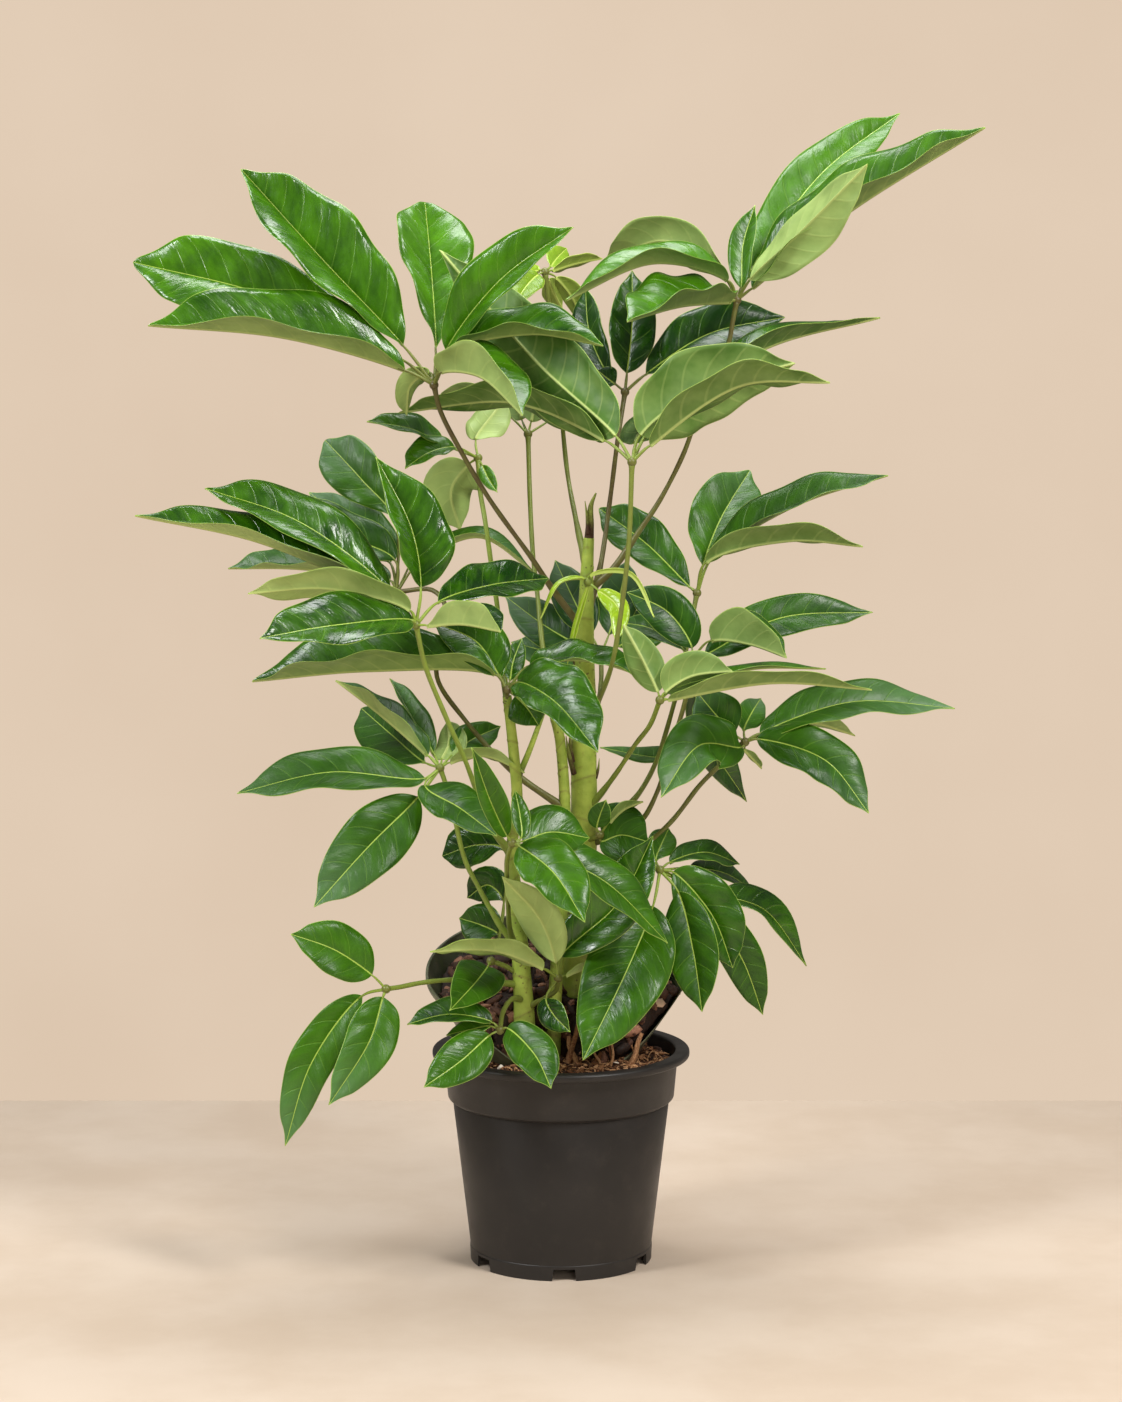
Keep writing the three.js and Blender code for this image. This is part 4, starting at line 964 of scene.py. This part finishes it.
def soil_height(x, y):
    share = min(math.hypot(x, y) / SOIL_RIM, 1)
    mound = (1 - share ** 2) * SOIL["mound"]
    relief = (1 - share ** 6) * SOIL["relief"] * unevenness(x, y, SOIL["wave_length"])
    return SOIL["top"] + mound + relief


def soil_surface(x, y):
    """The soil's height with its fine roughness, which fades out at the rim."""
    spot = Vector((x / CRUMBS["size"], y / CRUMBS["size"], 0.7))
    roughness = CRUMBS["relief"] * noise.fractal(spot, 0.8, 2.1, 4)
    return soil_height(x, y) + roughness * smooth(SOIL_RIM, SOIL_RIM - 6, math.hypot(x, y))


def bark_height(x, y):
    """The bark's top in the liner's own frame."""
    share = min(math.hypot(x, y) / BARK_RADIUS, 1)
    height = BARK["crown"] + BARK["relief"] * unevenness(x, y, BARK["wave_length"])
    return -BARK["below_rim"] + (1 - share ** 4) * height


def bark_bed(x, y):
    """What the lumps lie on, a little under the bark's top."""
    return bark_height(x, y) - BARK_BED["depth"]


def add_lump(sheet, centre, size, turn, draw, tone):
    """A rough lump: a rounded box with its corners pushed about. size holds its three half lengths."""
    sides = 6
    corners = []
    for z in (-1, -0.35, 0.4, 1):
        reach = 0.72 if abs(z) == 1 else 1.0
        for angle in circle(sides):
            jog = draw.uniform(0.78, 1.12)
            height = z * draw.uniform(0.85, 1.1)
            corners.append((math.cos(angle) * reach * jog, math.sin(angle) * reach * jog, height))
    points = np.array(corners) * size
    points = points @ np.array(turn).T + centre
    ends = [points[:sides].mean(axis=0), points[-sides:].mean(axis=0)]
    points = np.concatenate((points, ends))
    place = np.tile(np.linspace(0, 1, len(points))[:, None], (1, 3))
    sheet.add(points, tube_faces(4, sides), 0, place, np.array((draw.random(), tone, draw.random())))


def lump_size(draw, lumps):
    long_half = draw.choice(lumps["long_halves"]) * draw.uniform(*lumps["vary"])
    return long_half, long_half * draw.uniform(*lumps["widths"]), long_half * draw.uniform(*lumps["heights"])


def lying_turn(draw, tilt):
    """A turn that lays a lump down: any way round, and up to the tilt off level."""
    angles = (draw.uniform(-tilt, tilt), draw.uniform(-tilt, tilt), draw.uniform(0, 2 * math.pi))
    return Euler(angles, "XYZ").to_matrix()


def scattered(draw, radius):
    """A place drawn evenly from the disc round the axis."""
    reach = radius * math.sqrt(draw.random())
    turn = draw.uniform(0, 2 * math.pi)
    return reach * math.cos(turn), reach * math.sin(turn)


def add_mass(sheet, radii, bottom, top_at, rings, sectors, place_at=None):
    """A closed mass: a polar grid on top at top_at(x, y), and a side down to the bottom radius and height."""
    top_radius, bottom_radius = radii
    turns = circle(sectors)
    rows = []
    for ring in range(1, rings + 1):
        reach = top_radius * ring / rings
        places = [(reach * math.cos(turn), reach * math.sin(turn)) for turn in turns]
        rows.append([(x, y, top_at(x, y)) for x, y in places])
    rows.append([(bottom_radius * math.cos(turn), bottom_radius * math.sin(turn), bottom) for turn in turns])
    points = np.array(rows).reshape(-1, 3)
    points = np.concatenate((points, [(0, 0, top_at(0, 0)), (0, 0, bottom)]))
    faces = [face[::-1] for face in grid_faces(rings + 1, sectors, closed=True)]
    centre, foot = len(points) - 2, len(points) - 1
    for j in range(sectors):
        k = (j + 1) % sectors
        faces.append((centre, j, k))
        faces.append((foot, rings * sectors + k, rings * sectors + j))
    if place_at:
        points = place_at(points)
    sheet.add(points, faces, 0, np.zeros(3), np.array((0.3, 0.2, 0.5)))


def soil_piece(finish):
    draw = random.Random("soil")
    sheet = Sheet()
    bottom = POT["floor_height"] + POT["floor_thickness"] + GAP
    bottom_radius = POT["foot_radius"] - POT["wall"] - GAP
    add_mass(sheet, (SOIL_RIM, bottom_radius), bottom, soil_surface, 60, 180)
    for _ in range(SOIL_CHUNKS["count"]):
        x, y = scattered(draw, SOIL_RIM - 4)
        size = lump_size(draw, SOIL_CHUNKS)
        centre = (x, y, soil_surface(x, y) + size[2] * 0.8)
        turn = lying_turn(draw, SOIL_CHUNKS["tilt"])
        add_lump(sheet, centre, size, turn, draw, draw.choice(SOIL_CHUNKS["tones"]))
    for _ in range(SOIL_FIBRES["count"]):
        add_fibre(sheet, *scattered(draw, SOIL_RIM - 14), draw)
    for x, y, height, lean in ROOTS:
        add_root(sheet, x, y, height, lean, draw)
    piece = sheet.make("soil_mix", [finish])
    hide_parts("soil")
    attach(piece, "root")


def add_root(sheet, x, y, height, lean, draw):
    """A brown root that stands in the mix and leans back against the bark."""
    steps, sides = 24, 10
    foot = soil_surface(x, y) - 5
    points = []
    for share in (0, 0.35, 0.7, 1):
        jog = draw.uniform(-3, 3)
        points.append((x + lean * share + jog, y + 6 * share, foot + height * share))
    ways = np.linspace(0, 1, steps + 1)
    radii = draw.uniform(1.2, 3.2) * (1.1 - 0.5 * ways)
    ridges = 0.18 * np.cos(3 * circle(sides) + 4 * ways[:, None]) * radii[:, None]
    add_tube(sheet, Route(points).even(steps), radii, sides, 0, draw.uniform(0.3, 0.75), relief=ridges)


def add_fibre(sheet, x, y, draw):
    """A root or coir fibre that lies on the soil in a loose curve."""
    heading = draw.uniform(0, 2 * math.pi)
    length = draw.uniform(*SOIL_FIBRES["lengths"])
    bend = draw.uniform(-SOIL_FIBRES["bend"], SOIL_FIBRES["bend"])
    points = []
    for i in range(4):
        point_x = x + math.cos(heading) * length * (i / 3 - 0.5)
        point_y = y + math.sin(heading) * length * (i / 3 - 0.5)
        heading += bend / 3
        points.append((point_x, point_y, soil_surface(point_x, point_y) + draw.uniform(0.2, 2.2)))
    radii = draw.uniform(*SOIL_FIBRES["radii"]) * np.ones(8)
    add_tube(sheet, Route(points).even(7), radii, 4, 0, draw.choice(SOIL_FIBRES["tones"]))


# ---- Root-ball liner and its bark ----
def liner_place(points):
    """From the liner's own frame, whose origin is the rim's centre, to the part's."""
    turn = math.radians(LINER["lean"])
    x, y, z = points[..., 0], points[..., 1], points[..., 2]
    ahead = y * math.cos(turn) - z * math.sin(turn)
    up = y * math.sin(turn) + z * math.cos(turn)
    return np.stack((x, ahead, up), axis=-1) + np.array(LINER["rim_centre"])


def cut_front(piece):
    """Cuts off what lies in front of the upright plane that goes through the liner's front corners."""
    (left_x, left_y), (right_x, right_y) = LINER["front_left"], LINER["front_right"]
    middle = ((left_x + right_x) / 2, (left_y + right_y) / 2, LINER["rim_centre"][2])
    size = 600
    cutter = block("front", (size, size, size), (0, 0, 0))
    cutter.data.transform(Matrix.Translation((0, -size / 2 * MM, 0)))
    cutter.data.transform(Matrix.Rotation(math.atan2(right_y - left_y, right_x - left_x), 4, "Z"))
    cutter.data.transform(Matrix.Translation([place * MM for place in middle]))
    combine(piece, cutter, "DIFFERENCE")


def liner_piece(finish):
    bottom, depth, lip_height = LINER["bottom_radius"], LINER["depth"], LINER["lip_height"]
    rim, inside = LINER["rim_radius"], LINER_INSIDE
    profile = [
        (bottom - LINER["wall"], -depth), (bottom, -depth),
        (inside, -lip_height), (rim - 0.4, -lip_height + 0.3), (rim, -lip_height + 1),
        (rim, -0.8), (rim - 0.8, 0), (inside + 0.6, 0), (inside, -0.6), (inside - 0.3, -lip_height),
    ]
    liner = turned("liner_shell", profile, 120, finish)
    liner.data.transform(Matrix.Rotation(math.radians(LINER["lean"]), 4, "X"))
    liner.data.transform(Matrix.Translation(Vector(LINER["rim_centre"]) * MM))
    cut_front(liner)
    shade(liner, 40)
    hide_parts("root_ball_liner")
    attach(liner, "root")


def bark_core(finish):
    """The mass under the lumps, which fills the liner but for a bay at its front, in an even mesh."""
    sheet = Sheet()
    floor_radius = LINER["bottom_radius"] - LINER["wall"] - BARK["clear"]
    add_mass(sheet, (BARK_RADIUS, floor_radius), BARK_FLOOR, bark_bed, 24, 72, liner_place)
    core = sheet.make("bark_core", [finish])
    cut_front(core)
    bay_x, bay_y, bay_radius = BARK["bay"]
    bay = turned("bay", [(0, 0), (bay_radius, 0), (bay_radius, 500), (0, 500)], 32, finish)
    bay.data.transform(Matrix.Translation((bay_x * MM, bay_y * MM, 0)))
    combine(core, bay, "DIFFERENCE")
    remesh = core.modifiers.new("even", "REMESH")
    remesh.mode = "VOXEL"
    remesh.voxel_size = BARK_BED["grid"] * MM
    apply_modifiers(core)
    return core


def takes_lumps(place, normal):
    """Whether a lump may lie there: over the soil, clear of the liner, and on a face that isn't below."""
    turn = math.radians(LINER["lean"])
    own = place - Vector(LINER["rim_centre"])
    axis = Vector((0, -math.sin(turn), math.cos(turn)))
    height = own.dot(axis)
    off_axis = (own - axis * height).length
    clear = off_axis < LINER_INSIDE + LINER_SLOPE * height - 5 and height > BARK_FLOOR + 6
    return clear and place.z > SOIL["top"] and normal.z > -0.4


def bark_piece(finish):
    """The bark: a rough mass, with lumps scattered over what shows of it."""
    draw = random.Random("bark")
    core = bark_core(finish)
    points = np.array([vertex.co for vertex in core.data.vertices]) / MM
    normals = np.array([vertex.normal for vertex in core.data.vertices])
    faces = [tuple(face.vertices) for face in core.data.polygons]
    clod_size = BARK_BED["clod_size"]
    clods = np.array([noise.fractal(Vector(point) / clod_size, 0.8, 2.1, 3) for point in points])
    push = clods * BARK_BED["relief"] - BARK_BED["sink"]
    sheet = Sheet()
    sheet.add(points + normals * push[:, None], faces, 0, np.zeros(3), np.array((0.4, 0.15, 0.5)))
    spots = [(Vector(face.center) / MM, face.normal.copy()) for face in core.data.polygons]
    spots = [spot for spot in spots if takes_lumps(*spot)]
    bpy.data.objects.remove(core)
    for _ in range(BARK_LUMPS["count"]):
        place, normal = draw.choice(spots)
        size = lump_size(draw, BARK_LUMPS)
        turn = normal.to_track_quat("Z", "Y").to_matrix() @ lying_turn(draw, BARK_LUMPS["tilt"])
        centre = place + normal * size[2] * draw.uniform(0.1, 0.7)
        add_lump(sheet, np.array(centre), size, turn, draw, draw.choice(BARK_LUMPS["tones"]))
    piece = sheet.make("bark_lumps", [finish])
    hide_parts("bark_mulch")
    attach(piece, "root")


# ---- Finishes ----
def colour(red, green, blue):
    """A colour given as it looks on a screen, 0 to 255, as the linear value that a shader takes."""
    linear = [((c / 255 + 0.055) / 1.055) ** 2.4 if c > 10 else c / 255 / 12.92 for c in (red, green, blue)]
    return (*linear, 1)


class Nodes:
    """A node tree in the making, with short calls for the nodes that the finishes share."""

    def __init__(self, tree):
        self.tree = tree

    def node(self, kind, **settings):
        node = self.tree.nodes.new(kind)
        for key, value in settings.items():
            setattr(node, key, value)
        return node

    def feed(self, socket, value):
        if isinstance(value, bpy.types.NodeSocket):
            self.tree.links.new(value, socket)
        else:
            socket.default_value = value

    def fed(self, node, *values):
        """The first output of the node, whose inputs take the values in their order."""
        for socket, value in zip(node.inputs, values):
            self.feed(socket, value)
        return node.outputs[0]

    def math(self, operation, *values, clamp=False):
        return self.fed(self.node("ShaderNodeMath", operation=operation, use_clamp=clamp), *values)

    def plus(self, first, second, clamp=False):
        return self.math("ADD", first, second, clamp=clamp)

    def minus(self, first, second):
        return self.math("SUBTRACT", first, second)

    def times(self, first, second):
        return self.math("MULTIPLY", first, second)

    def mark(self, name):
        source = self.node("ShaderNodeAttribute", attribute_name=name)
        split = self.node("ShaderNodeSeparateXYZ")
        self.feed(split.inputs[0], source.outputs["Vector"])
        return split.outputs

    def object_place(self):
        return self.node("ShaderNodeTexCoord").outputs["Object"]

    def noise(self, scale, detail=3, vector=None, roughness=0.55):
        node = self.node("ShaderNodeTexNoise")
        self.feed(node.inputs["Vector"], self.object_place() if vector is None else vector)
        node.inputs["Scale"].default_value = scale
        node.inputs["Detail"].default_value = detail
        node.inputs["Roughness"].default_value = roughness
        return node.outputs["Fac"]

    def ramp(self, value, low, high, start=0.0, end=1.0):
        """A smooth step of value from start at low to end at high."""
        node = self.node("ShaderNodeMapRange", interpolation_type="SMOOTHSTEP")
        return self.fed(node, value, low, high, start, end)

    def mix(self, factor, first, second):
        node = self.node("ShaderNodeMix", data_type="RGBA")
        self.feed(node.inputs[0], factor)
        self.feed(node.inputs[6], first)
        self.feed(node.inputs[7], second)
        return node.outputs[2]

    def coat(self, body, share, amount, over):
        """The body with another colour laid over it, as far as the amount where the share is 1."""
        return self.mix(self.times(share, amount), body, over)

    def vary(self, tone, cloud, middle, amount):
        """The tone, lighter where the cloud is over its middle and darker where it is under it."""
        return self.plus(tone, self.times(self.minus(cloud, middle), amount), clamp=True)


class Finish(Nodes):
    """A material in the making."""

    def __init__(self, name):
        self.material = bpy.data.materials.new(name)
        self.material.use_nodes = True
        super().__init__(self.material.node_tree)
        self.shader = self.tree.nodes["Principled BSDF"]

    def set(self, name, value):
        self.feed(self.shader.inputs[name], value)

    def emboss(self, height, strength, distance):
        """Fine relief, with its distance in metres."""
        bump = self.node("ShaderNodeBump")
        bump.inputs["Strength"].default_value = strength
        bump.inputs["Distance"].default_value = distance
        self.feed(bump.inputs["Height"], height)
        self.set("Normal", bump.outputs[0])

    def done(self, body, roughness, specular=0.5):
        self.set("Base Color", body)
        self.set("Roughness", roughness)
        self.set("Specular IOR Level", specular)
        return self.material


def vein_line(finish, vein, edge, width):
    """1 on the side veins, which fade towards the edge of the blade, and 0 between them."""
    off = finish.math("ABSOLUTE", finish.minus(finish.math("FRACT", finish.plus(vein, 0.5)), 0.5))
    return finish.times(finish.ramp(off, 0.4 * width, width, 1, 0), finish.ramp(edge, 0.5, 7))


def leaf_top(name, dark, bright, painted_sheen_colour, vein_colour, rib_colour, edge_colour):
    """The upper face: glossy, with pale veins, midrib and margin, and a painted sheen towards the tips of
    dull leaves.
    """
    finish = Finish(name)
    along, rib, edge = finish.mark("place")
    vein, tone, seed = finish.mark("kind")
    wrinkle_place = finish.fed(finish.node("ShaderNodeCombineXYZ"), finish.times(vein, 2.1),
                               finish.times(rib, 0.055), finish.times(seed, 40))
    wrinkle = finish.noise(1.0, 3, wrinkle_place)
    cloud = finish.plus(finish.noise(26, 3), finish.times(wrinkle, 0.9))
    mottle = finish.minus(0.95, finish.times(seed, 0.6))
    body = finish.mix(finish.vary(tone, cloud, 0.95, mottle), dark, bright)
    # Painted sheen: towards the tips of dull leaves the colour is mixed with a pale grey-green that stands in
    # for a reflection of light.
    painted_sheen = finish.times(finish.ramp(along, 0.45, 1, 0, 0.6), finish.ramp(seed, 0.6, 1))
    body = finish.mix(painted_sheen, body, painted_sheen_colour)
    line = vein_line(finish, vein, edge, 0.045)
    body = finish.coat(body, line, 0.2, vein_colour)
    rib_width = finish.minus(1.15, finish.times(along, 0.75))
    midrib = finish.ramp(finish.math("DIVIDE", rib, rib_width), 0.45, 1.0, 1, 0)
    body = finish.coat(body, midrib, 0.75, rib_colour)
    body = finish.coat(body, finish.ramp(edge, 0.15, 0.7, 1, 0), 0.75, edge_colour)
    height = finish.plus(wrinkle, finish.times(finish.noise(420, 2), 0.12))
    finish.emboss(finish.minus(height, finish.times(line, 0.35)), 0.55, 0.002)
    roughness = finish.plus(finish.ramp(finish.noise(60, 2), 0.3, 0.75, 0.17, 0.3), finish.times(seed, 0.22))
    return finish.done(body, roughness, finish.minus(0.55, finish.times(seed, 0.25)))


def leaf_under(name, dark, bright, rib_colour, edge_colour):
    """The underside: paler and matt, with a raised midrib and veins."""
    finish = Finish(name)
    rib, edge = finish.mark("place")[1:]
    vein, tone = finish.mark("kind")[:2]
    body = finish.mix(finish.vary(tone, finish.noise(34, 3), 0.5, 0.7), dark, bright)
    line = vein_line(finish, vein, edge, 0.08)
    body = finish.coat(body, line, 0.15, rib_colour)
    body = finish.coat(body, finish.ramp(rib, 1.0, 2.2, 1, 0), 0.7, rib_colour)
    body = finish.coat(body, finish.ramp(edge, 0.15, 0.8, 1, 0), 0.7, edge_colour)
    height = finish.plus(finish.times(line, 0.6), finish.times(finish.noise(260, 3), 0.35))
    finish.emboss(height, 0.3, 0.0008)
    return finish.done(body, finish.ramp(finish.noise(90, 2), 0.3, 0.75, 0.46, 0.6), 0.35)


def stalk_finish(name):
    finish = Finish(name)
    tone = finish.vary(finish.mark("kind")[1], finish.noise(70, 3), 0.5, 0.5)
    body = finish.mix(tone, colour(84, 66, 40), colour(140, 164, 62))
    freckles = finish.ramp(finish.noise(900, 1), 0.68, 0.74)
    body = finish.coat(body, freckles, 0.5, colour(92, 78, 40))
    finish.emboss(finish.noise(500, 3), 0.3, 0.0006)
    return finish.done(body, 0.42)


def stem_finish(name):
    """Light green bark, olive low down, painted shade at its foot, rust, lenticels and brown leaf scars."""
    finish = Finish(name)
    along = finish.mark("place")[0]
    scar = finish.mark("kind")[0]
    body = finish.mix(finish.ramp(finish.noise(38, 4), 0.3, 0.7), colour(134, 158, 56), colour(178, 196, 84))
    body = finish.coat(body, finish.ramp(along, 0.0, 0.3, 1, 0), 0.55, colour(84, 104, 38))
    # Painted shade: the stem's foot is darkened for the shadow that the leaves cast over it.
    body = finish.coat(body, finish.ramp(along, 0.07, 0.26, 1, 0), 0.75, colour(62, 66, 30))
    rust = finish.ramp(finish.noise(75, 5, roughness=0.7), 0.56, 0.72)
    body = finish.coat(body, rust, 0.4, colour(118, 98, 50))
    cells = finish.node("ShaderNodeTexVoronoi", feature="F1")
    finish.feed(cells.inputs["Vector"], finish.object_place())
    cells.inputs["Scale"].default_value = 190
    dot = finish.ramp(cells.outputs["Distance"], 0.16, 0.24, 1, 0)
    lenticel = finish.times(dot, finish.ramp(finish.noise(30, 1), 0.5, 0.6))
    body = finish.coat(body, lenticel, 0.7, colour(88, 66, 34))
    body = finish.coat(body, scar, 0.55, colour(122, 108, 58))
    finish.emboss(finish.plus(finish.noise(300, 4), finish.times(dot, 0.5)), 0.35, 0.0008)
    return finish.done(body, 0.48)


def bud_finish(name):
    """Dried brown, which turns green towards the tip."""
    finish = Finish(name)
    green = finish.ramp(finish.plus(finish.mark("place")[0], finish.noise(150, 3)), 0.6, 1.3)
    body = finish.mix(green, colour(66, 42, 24), colour(132, 144, 62))
    finish.emboss(finish.noise(600, 4), 0.5, 0.001)
    return finish.done(body, 0.7)


def pot_finish(name):
    """Charcoal plastic with a little dust."""
    finish = Finish(name)
    body = finish.mix(finish.ramp(finish.noise(9, 4), 0.3, 0.7), colour(34, 32, 31), colour(42, 39, 37))
    dust = finish.ramp(finish.noise(45, 5, roughness=0.7), 0.5, 0.75)
    body = finish.coat(body, dust, 0.06, colour(108, 96, 86))
    finish.emboss(finish.noise(1500, 2), 0.12, 0.0004)
    return finish.done(body, finish.ramp(finish.noise(30, 4), 0.3, 0.7, 0.36, 0.46), 0.4)


def liner_finish(name):
    """Dull olive plastic with moss and grime."""
    finish = Finish(name)
    body = finish.mix(finish.ramp(finish.noise(14, 3), 0.35, 0.65), colour(76, 80, 62), colour(118, 120, 94))
    moss = finish.ramp(finish.noise(34, 5, roughness=0.7), 0.5, 0.66)
    body = finish.coat(body, moss, 0.55, colour(80, 98, 42))
    grime = finish.ramp(finish.noise(60, 5, roughness=0.7), 0.56, 0.74)
    body = finish.coat(body, grime, 0.4, colour(134, 104, 84))
    finish.emboss(finish.noise(180, 4), 0.3, 0.001)
    return finish.done(body, finish.ramp(finish.noise(40, 3), 0.3, 0.7, 0.32, 0.6))


def crumb_finish(name, dark, middle, light, pale):
    """Soil or bark: each lump has a colour of its own, from its mark."""
    finish = Finish(name)
    chance, tone = finish.mark("kind")[:2]
    grain = finish.noise(520, 4, roughness=0.65)
    share = finish.vary(tone, grain, 0.5, 0.8)
    body = finish.mix(finish.ramp(share, 0.1, 0.55), dark, middle)
    body = finish.mix(finish.ramp(share, 0.5, 0.85), body, light)
    rare = finish.times(finish.ramp(chance, 0.94, 0.96), finish.ramp(tone, 0.5, 0.6))
    body = finish.mix(rare, body, pale)
    finish.emboss(finish.noise(700, 4), 0.6, 0.0012)
    return finish.done(body, finish.ramp(grain, 0.3, 0.7, 0.62, 0.95))


# ---- Stage, light and camera, in metres ----
def floor():
    finish = Finish("pale_floor")
    cloud = finish.ramp(finish.noise(5, 6, roughness=0.6), 0.3, 0.7)
    body = finish.mix(cloud, colour(204, 185, 165), colour(213, 196, 178))
    bpy.ops.mesh.primitive_plane_add(size=FLOOR_SIZE, location=(0, FLOOR_EDGE - FLOOR_SIZE / 2, 0))
    plane = bpy.context.object
    plane.name = "floor"
    plane.data.materials.append(finish.done(body, 0.85, 0.2))


def room():
    """The world: a pale wall for the eye, and a dimmer light all round for the plant."""
    world = bpy.data.worlds.new("soft_room")
    world.use_nodes = True
    nodes = Nodes(world.node_tree)
    around = nodes.node("ShaderNodeTexCoord").outputs["Generated"]
    cloud = nodes.noise(6, 6, around, roughness=0.5)
    wall = nodes.tree.nodes["Background"]
    nodes.feed(wall.inputs["Color"], nodes.mix(cloud, colour(214, 191, 167), colour(234, 214, 192)))
    fill = nodes.fed(nodes.node("ShaderNodeBackground"), colour(236, 226, 214), 0.24)
    to_eye = nodes.node("ShaderNodeLightPath").outputs["Is Camera Ray"]
    choice = nodes.fed(nodes.node("ShaderNodeMixShader"), to_eye, fill, wall.outputs[0])
    nodes.feed(nodes.tree.nodes["World Output"].inputs["Surface"], choice)
    bpy.context.scene.world = world


def softbox(name, place, aim, size, power, tint):
    light = bpy.data.lights.new(name, "AREA")
    light.shape = "RECTANGLE"
    light.size, light.size_y = size
    light.energy = power
    light.color = tint
    lamp = placed(name, light)
    lamp.location = place
    lamp.rotation_euler = (Vector(aim) - Vector(place)).to_track_quat("-Z", "Y").to_euler()
    return lamp


def lights():
    softbox("key_right", (1.5, -1.7, 2.6), (0, 0, 0.6), (0.7, 1.0), 68, (1.0, 0.98, 0.95))
    softbox("key_left", (-1.9, -1.3, 2.2), (0, 0, 0.6), (0.6, 1.0), 50, (0.97, 0.99, 1.0))
    softbox("overhead", (0.1, 0.4, 2.8), (0, 0, 0.5), (1.4, 0.9), 42, (1.0, 1.0, 1.0))
    fill = softbox("front_fill", (0.6, -4.0, 1.2), (0, 0, 0.5), (1.6, 1.6), 34, (1.0, 0.97, 0.93))
    fill.visible_glossy = False


def camera():
    view = bpy.data.cameras.new("camera")
    view.sensor_width = SENSOR
    view.lens = SENSOR * FOCAL_LENGTH / PHOTO_HEIGHT
    eye = placed("camera", view)
    eye.location = Vector(EYE) * MM
    eye.rotation_euler = (math.radians(90) - SIGHT_TILT, 0, 0)
    bpy.context.scene.camera = eye


# ---- The plant ----
# The third colour given to each upper face is its painted sheen, laid on the tips of dull leaves.
leaf_finishes = [
    leaf_top("leaf_top", colour(14, 54, 3), colour(82, 142, 8), colour(112, 146, 108), colour(120, 168, 50),
             colour(184, 210, 92), colour(170, 202, 92)),
    leaf_under("leaf_under", colour(70, 108, 34), colour(178, 202, 120), colour(192, 206, 124),
               colour(192, 212, 118)),
    stalk_finish("stalk"),
]
young_finishes = [
    leaf_top("young_top", colour(64, 108, 14), colour(160, 196, 38), colour(150, 180, 90),
             colour(180, 206, 80), colour(206, 222, 110), colour(200, 220, 100)),
    leaf_under("young_under", colour(104, 128, 44), colour(164, 186, 76), colour(196, 212, 110),
               colour(200, 216, 110)),
    stalk_finish("young_stalk"),
]
for name, frond in FRONDS.items():
    frond_piece(name, frond, young_finishes if name in YOUNG else leaf_finishes)
stem_finishes = [stem_finish("stem_skin"), bud_finish("dry_bud")]
for name, stem in STEMS.items():
    stem_piece(name, stem, stem_finishes)
pot_piece(pot_finish("pot_plastic"))
soil_piece(crumb_finish("potting_mix", colour(48, 24, 10), colour(120, 76, 44), colour(188, 142, 100),
                        colour(236, 222, 204)))
liner_piece(liner_finish("liner_plastic"))
bark_piece(crumb_finish("bark", colour(34, 21, 15), colour(86, 55, 39), colour(160, 114, 90),
                        colour(206, 176, 150)))
floor()
room()
lights()
camera()
bpy.context.scene.view_settings.view_transform = "Standard"
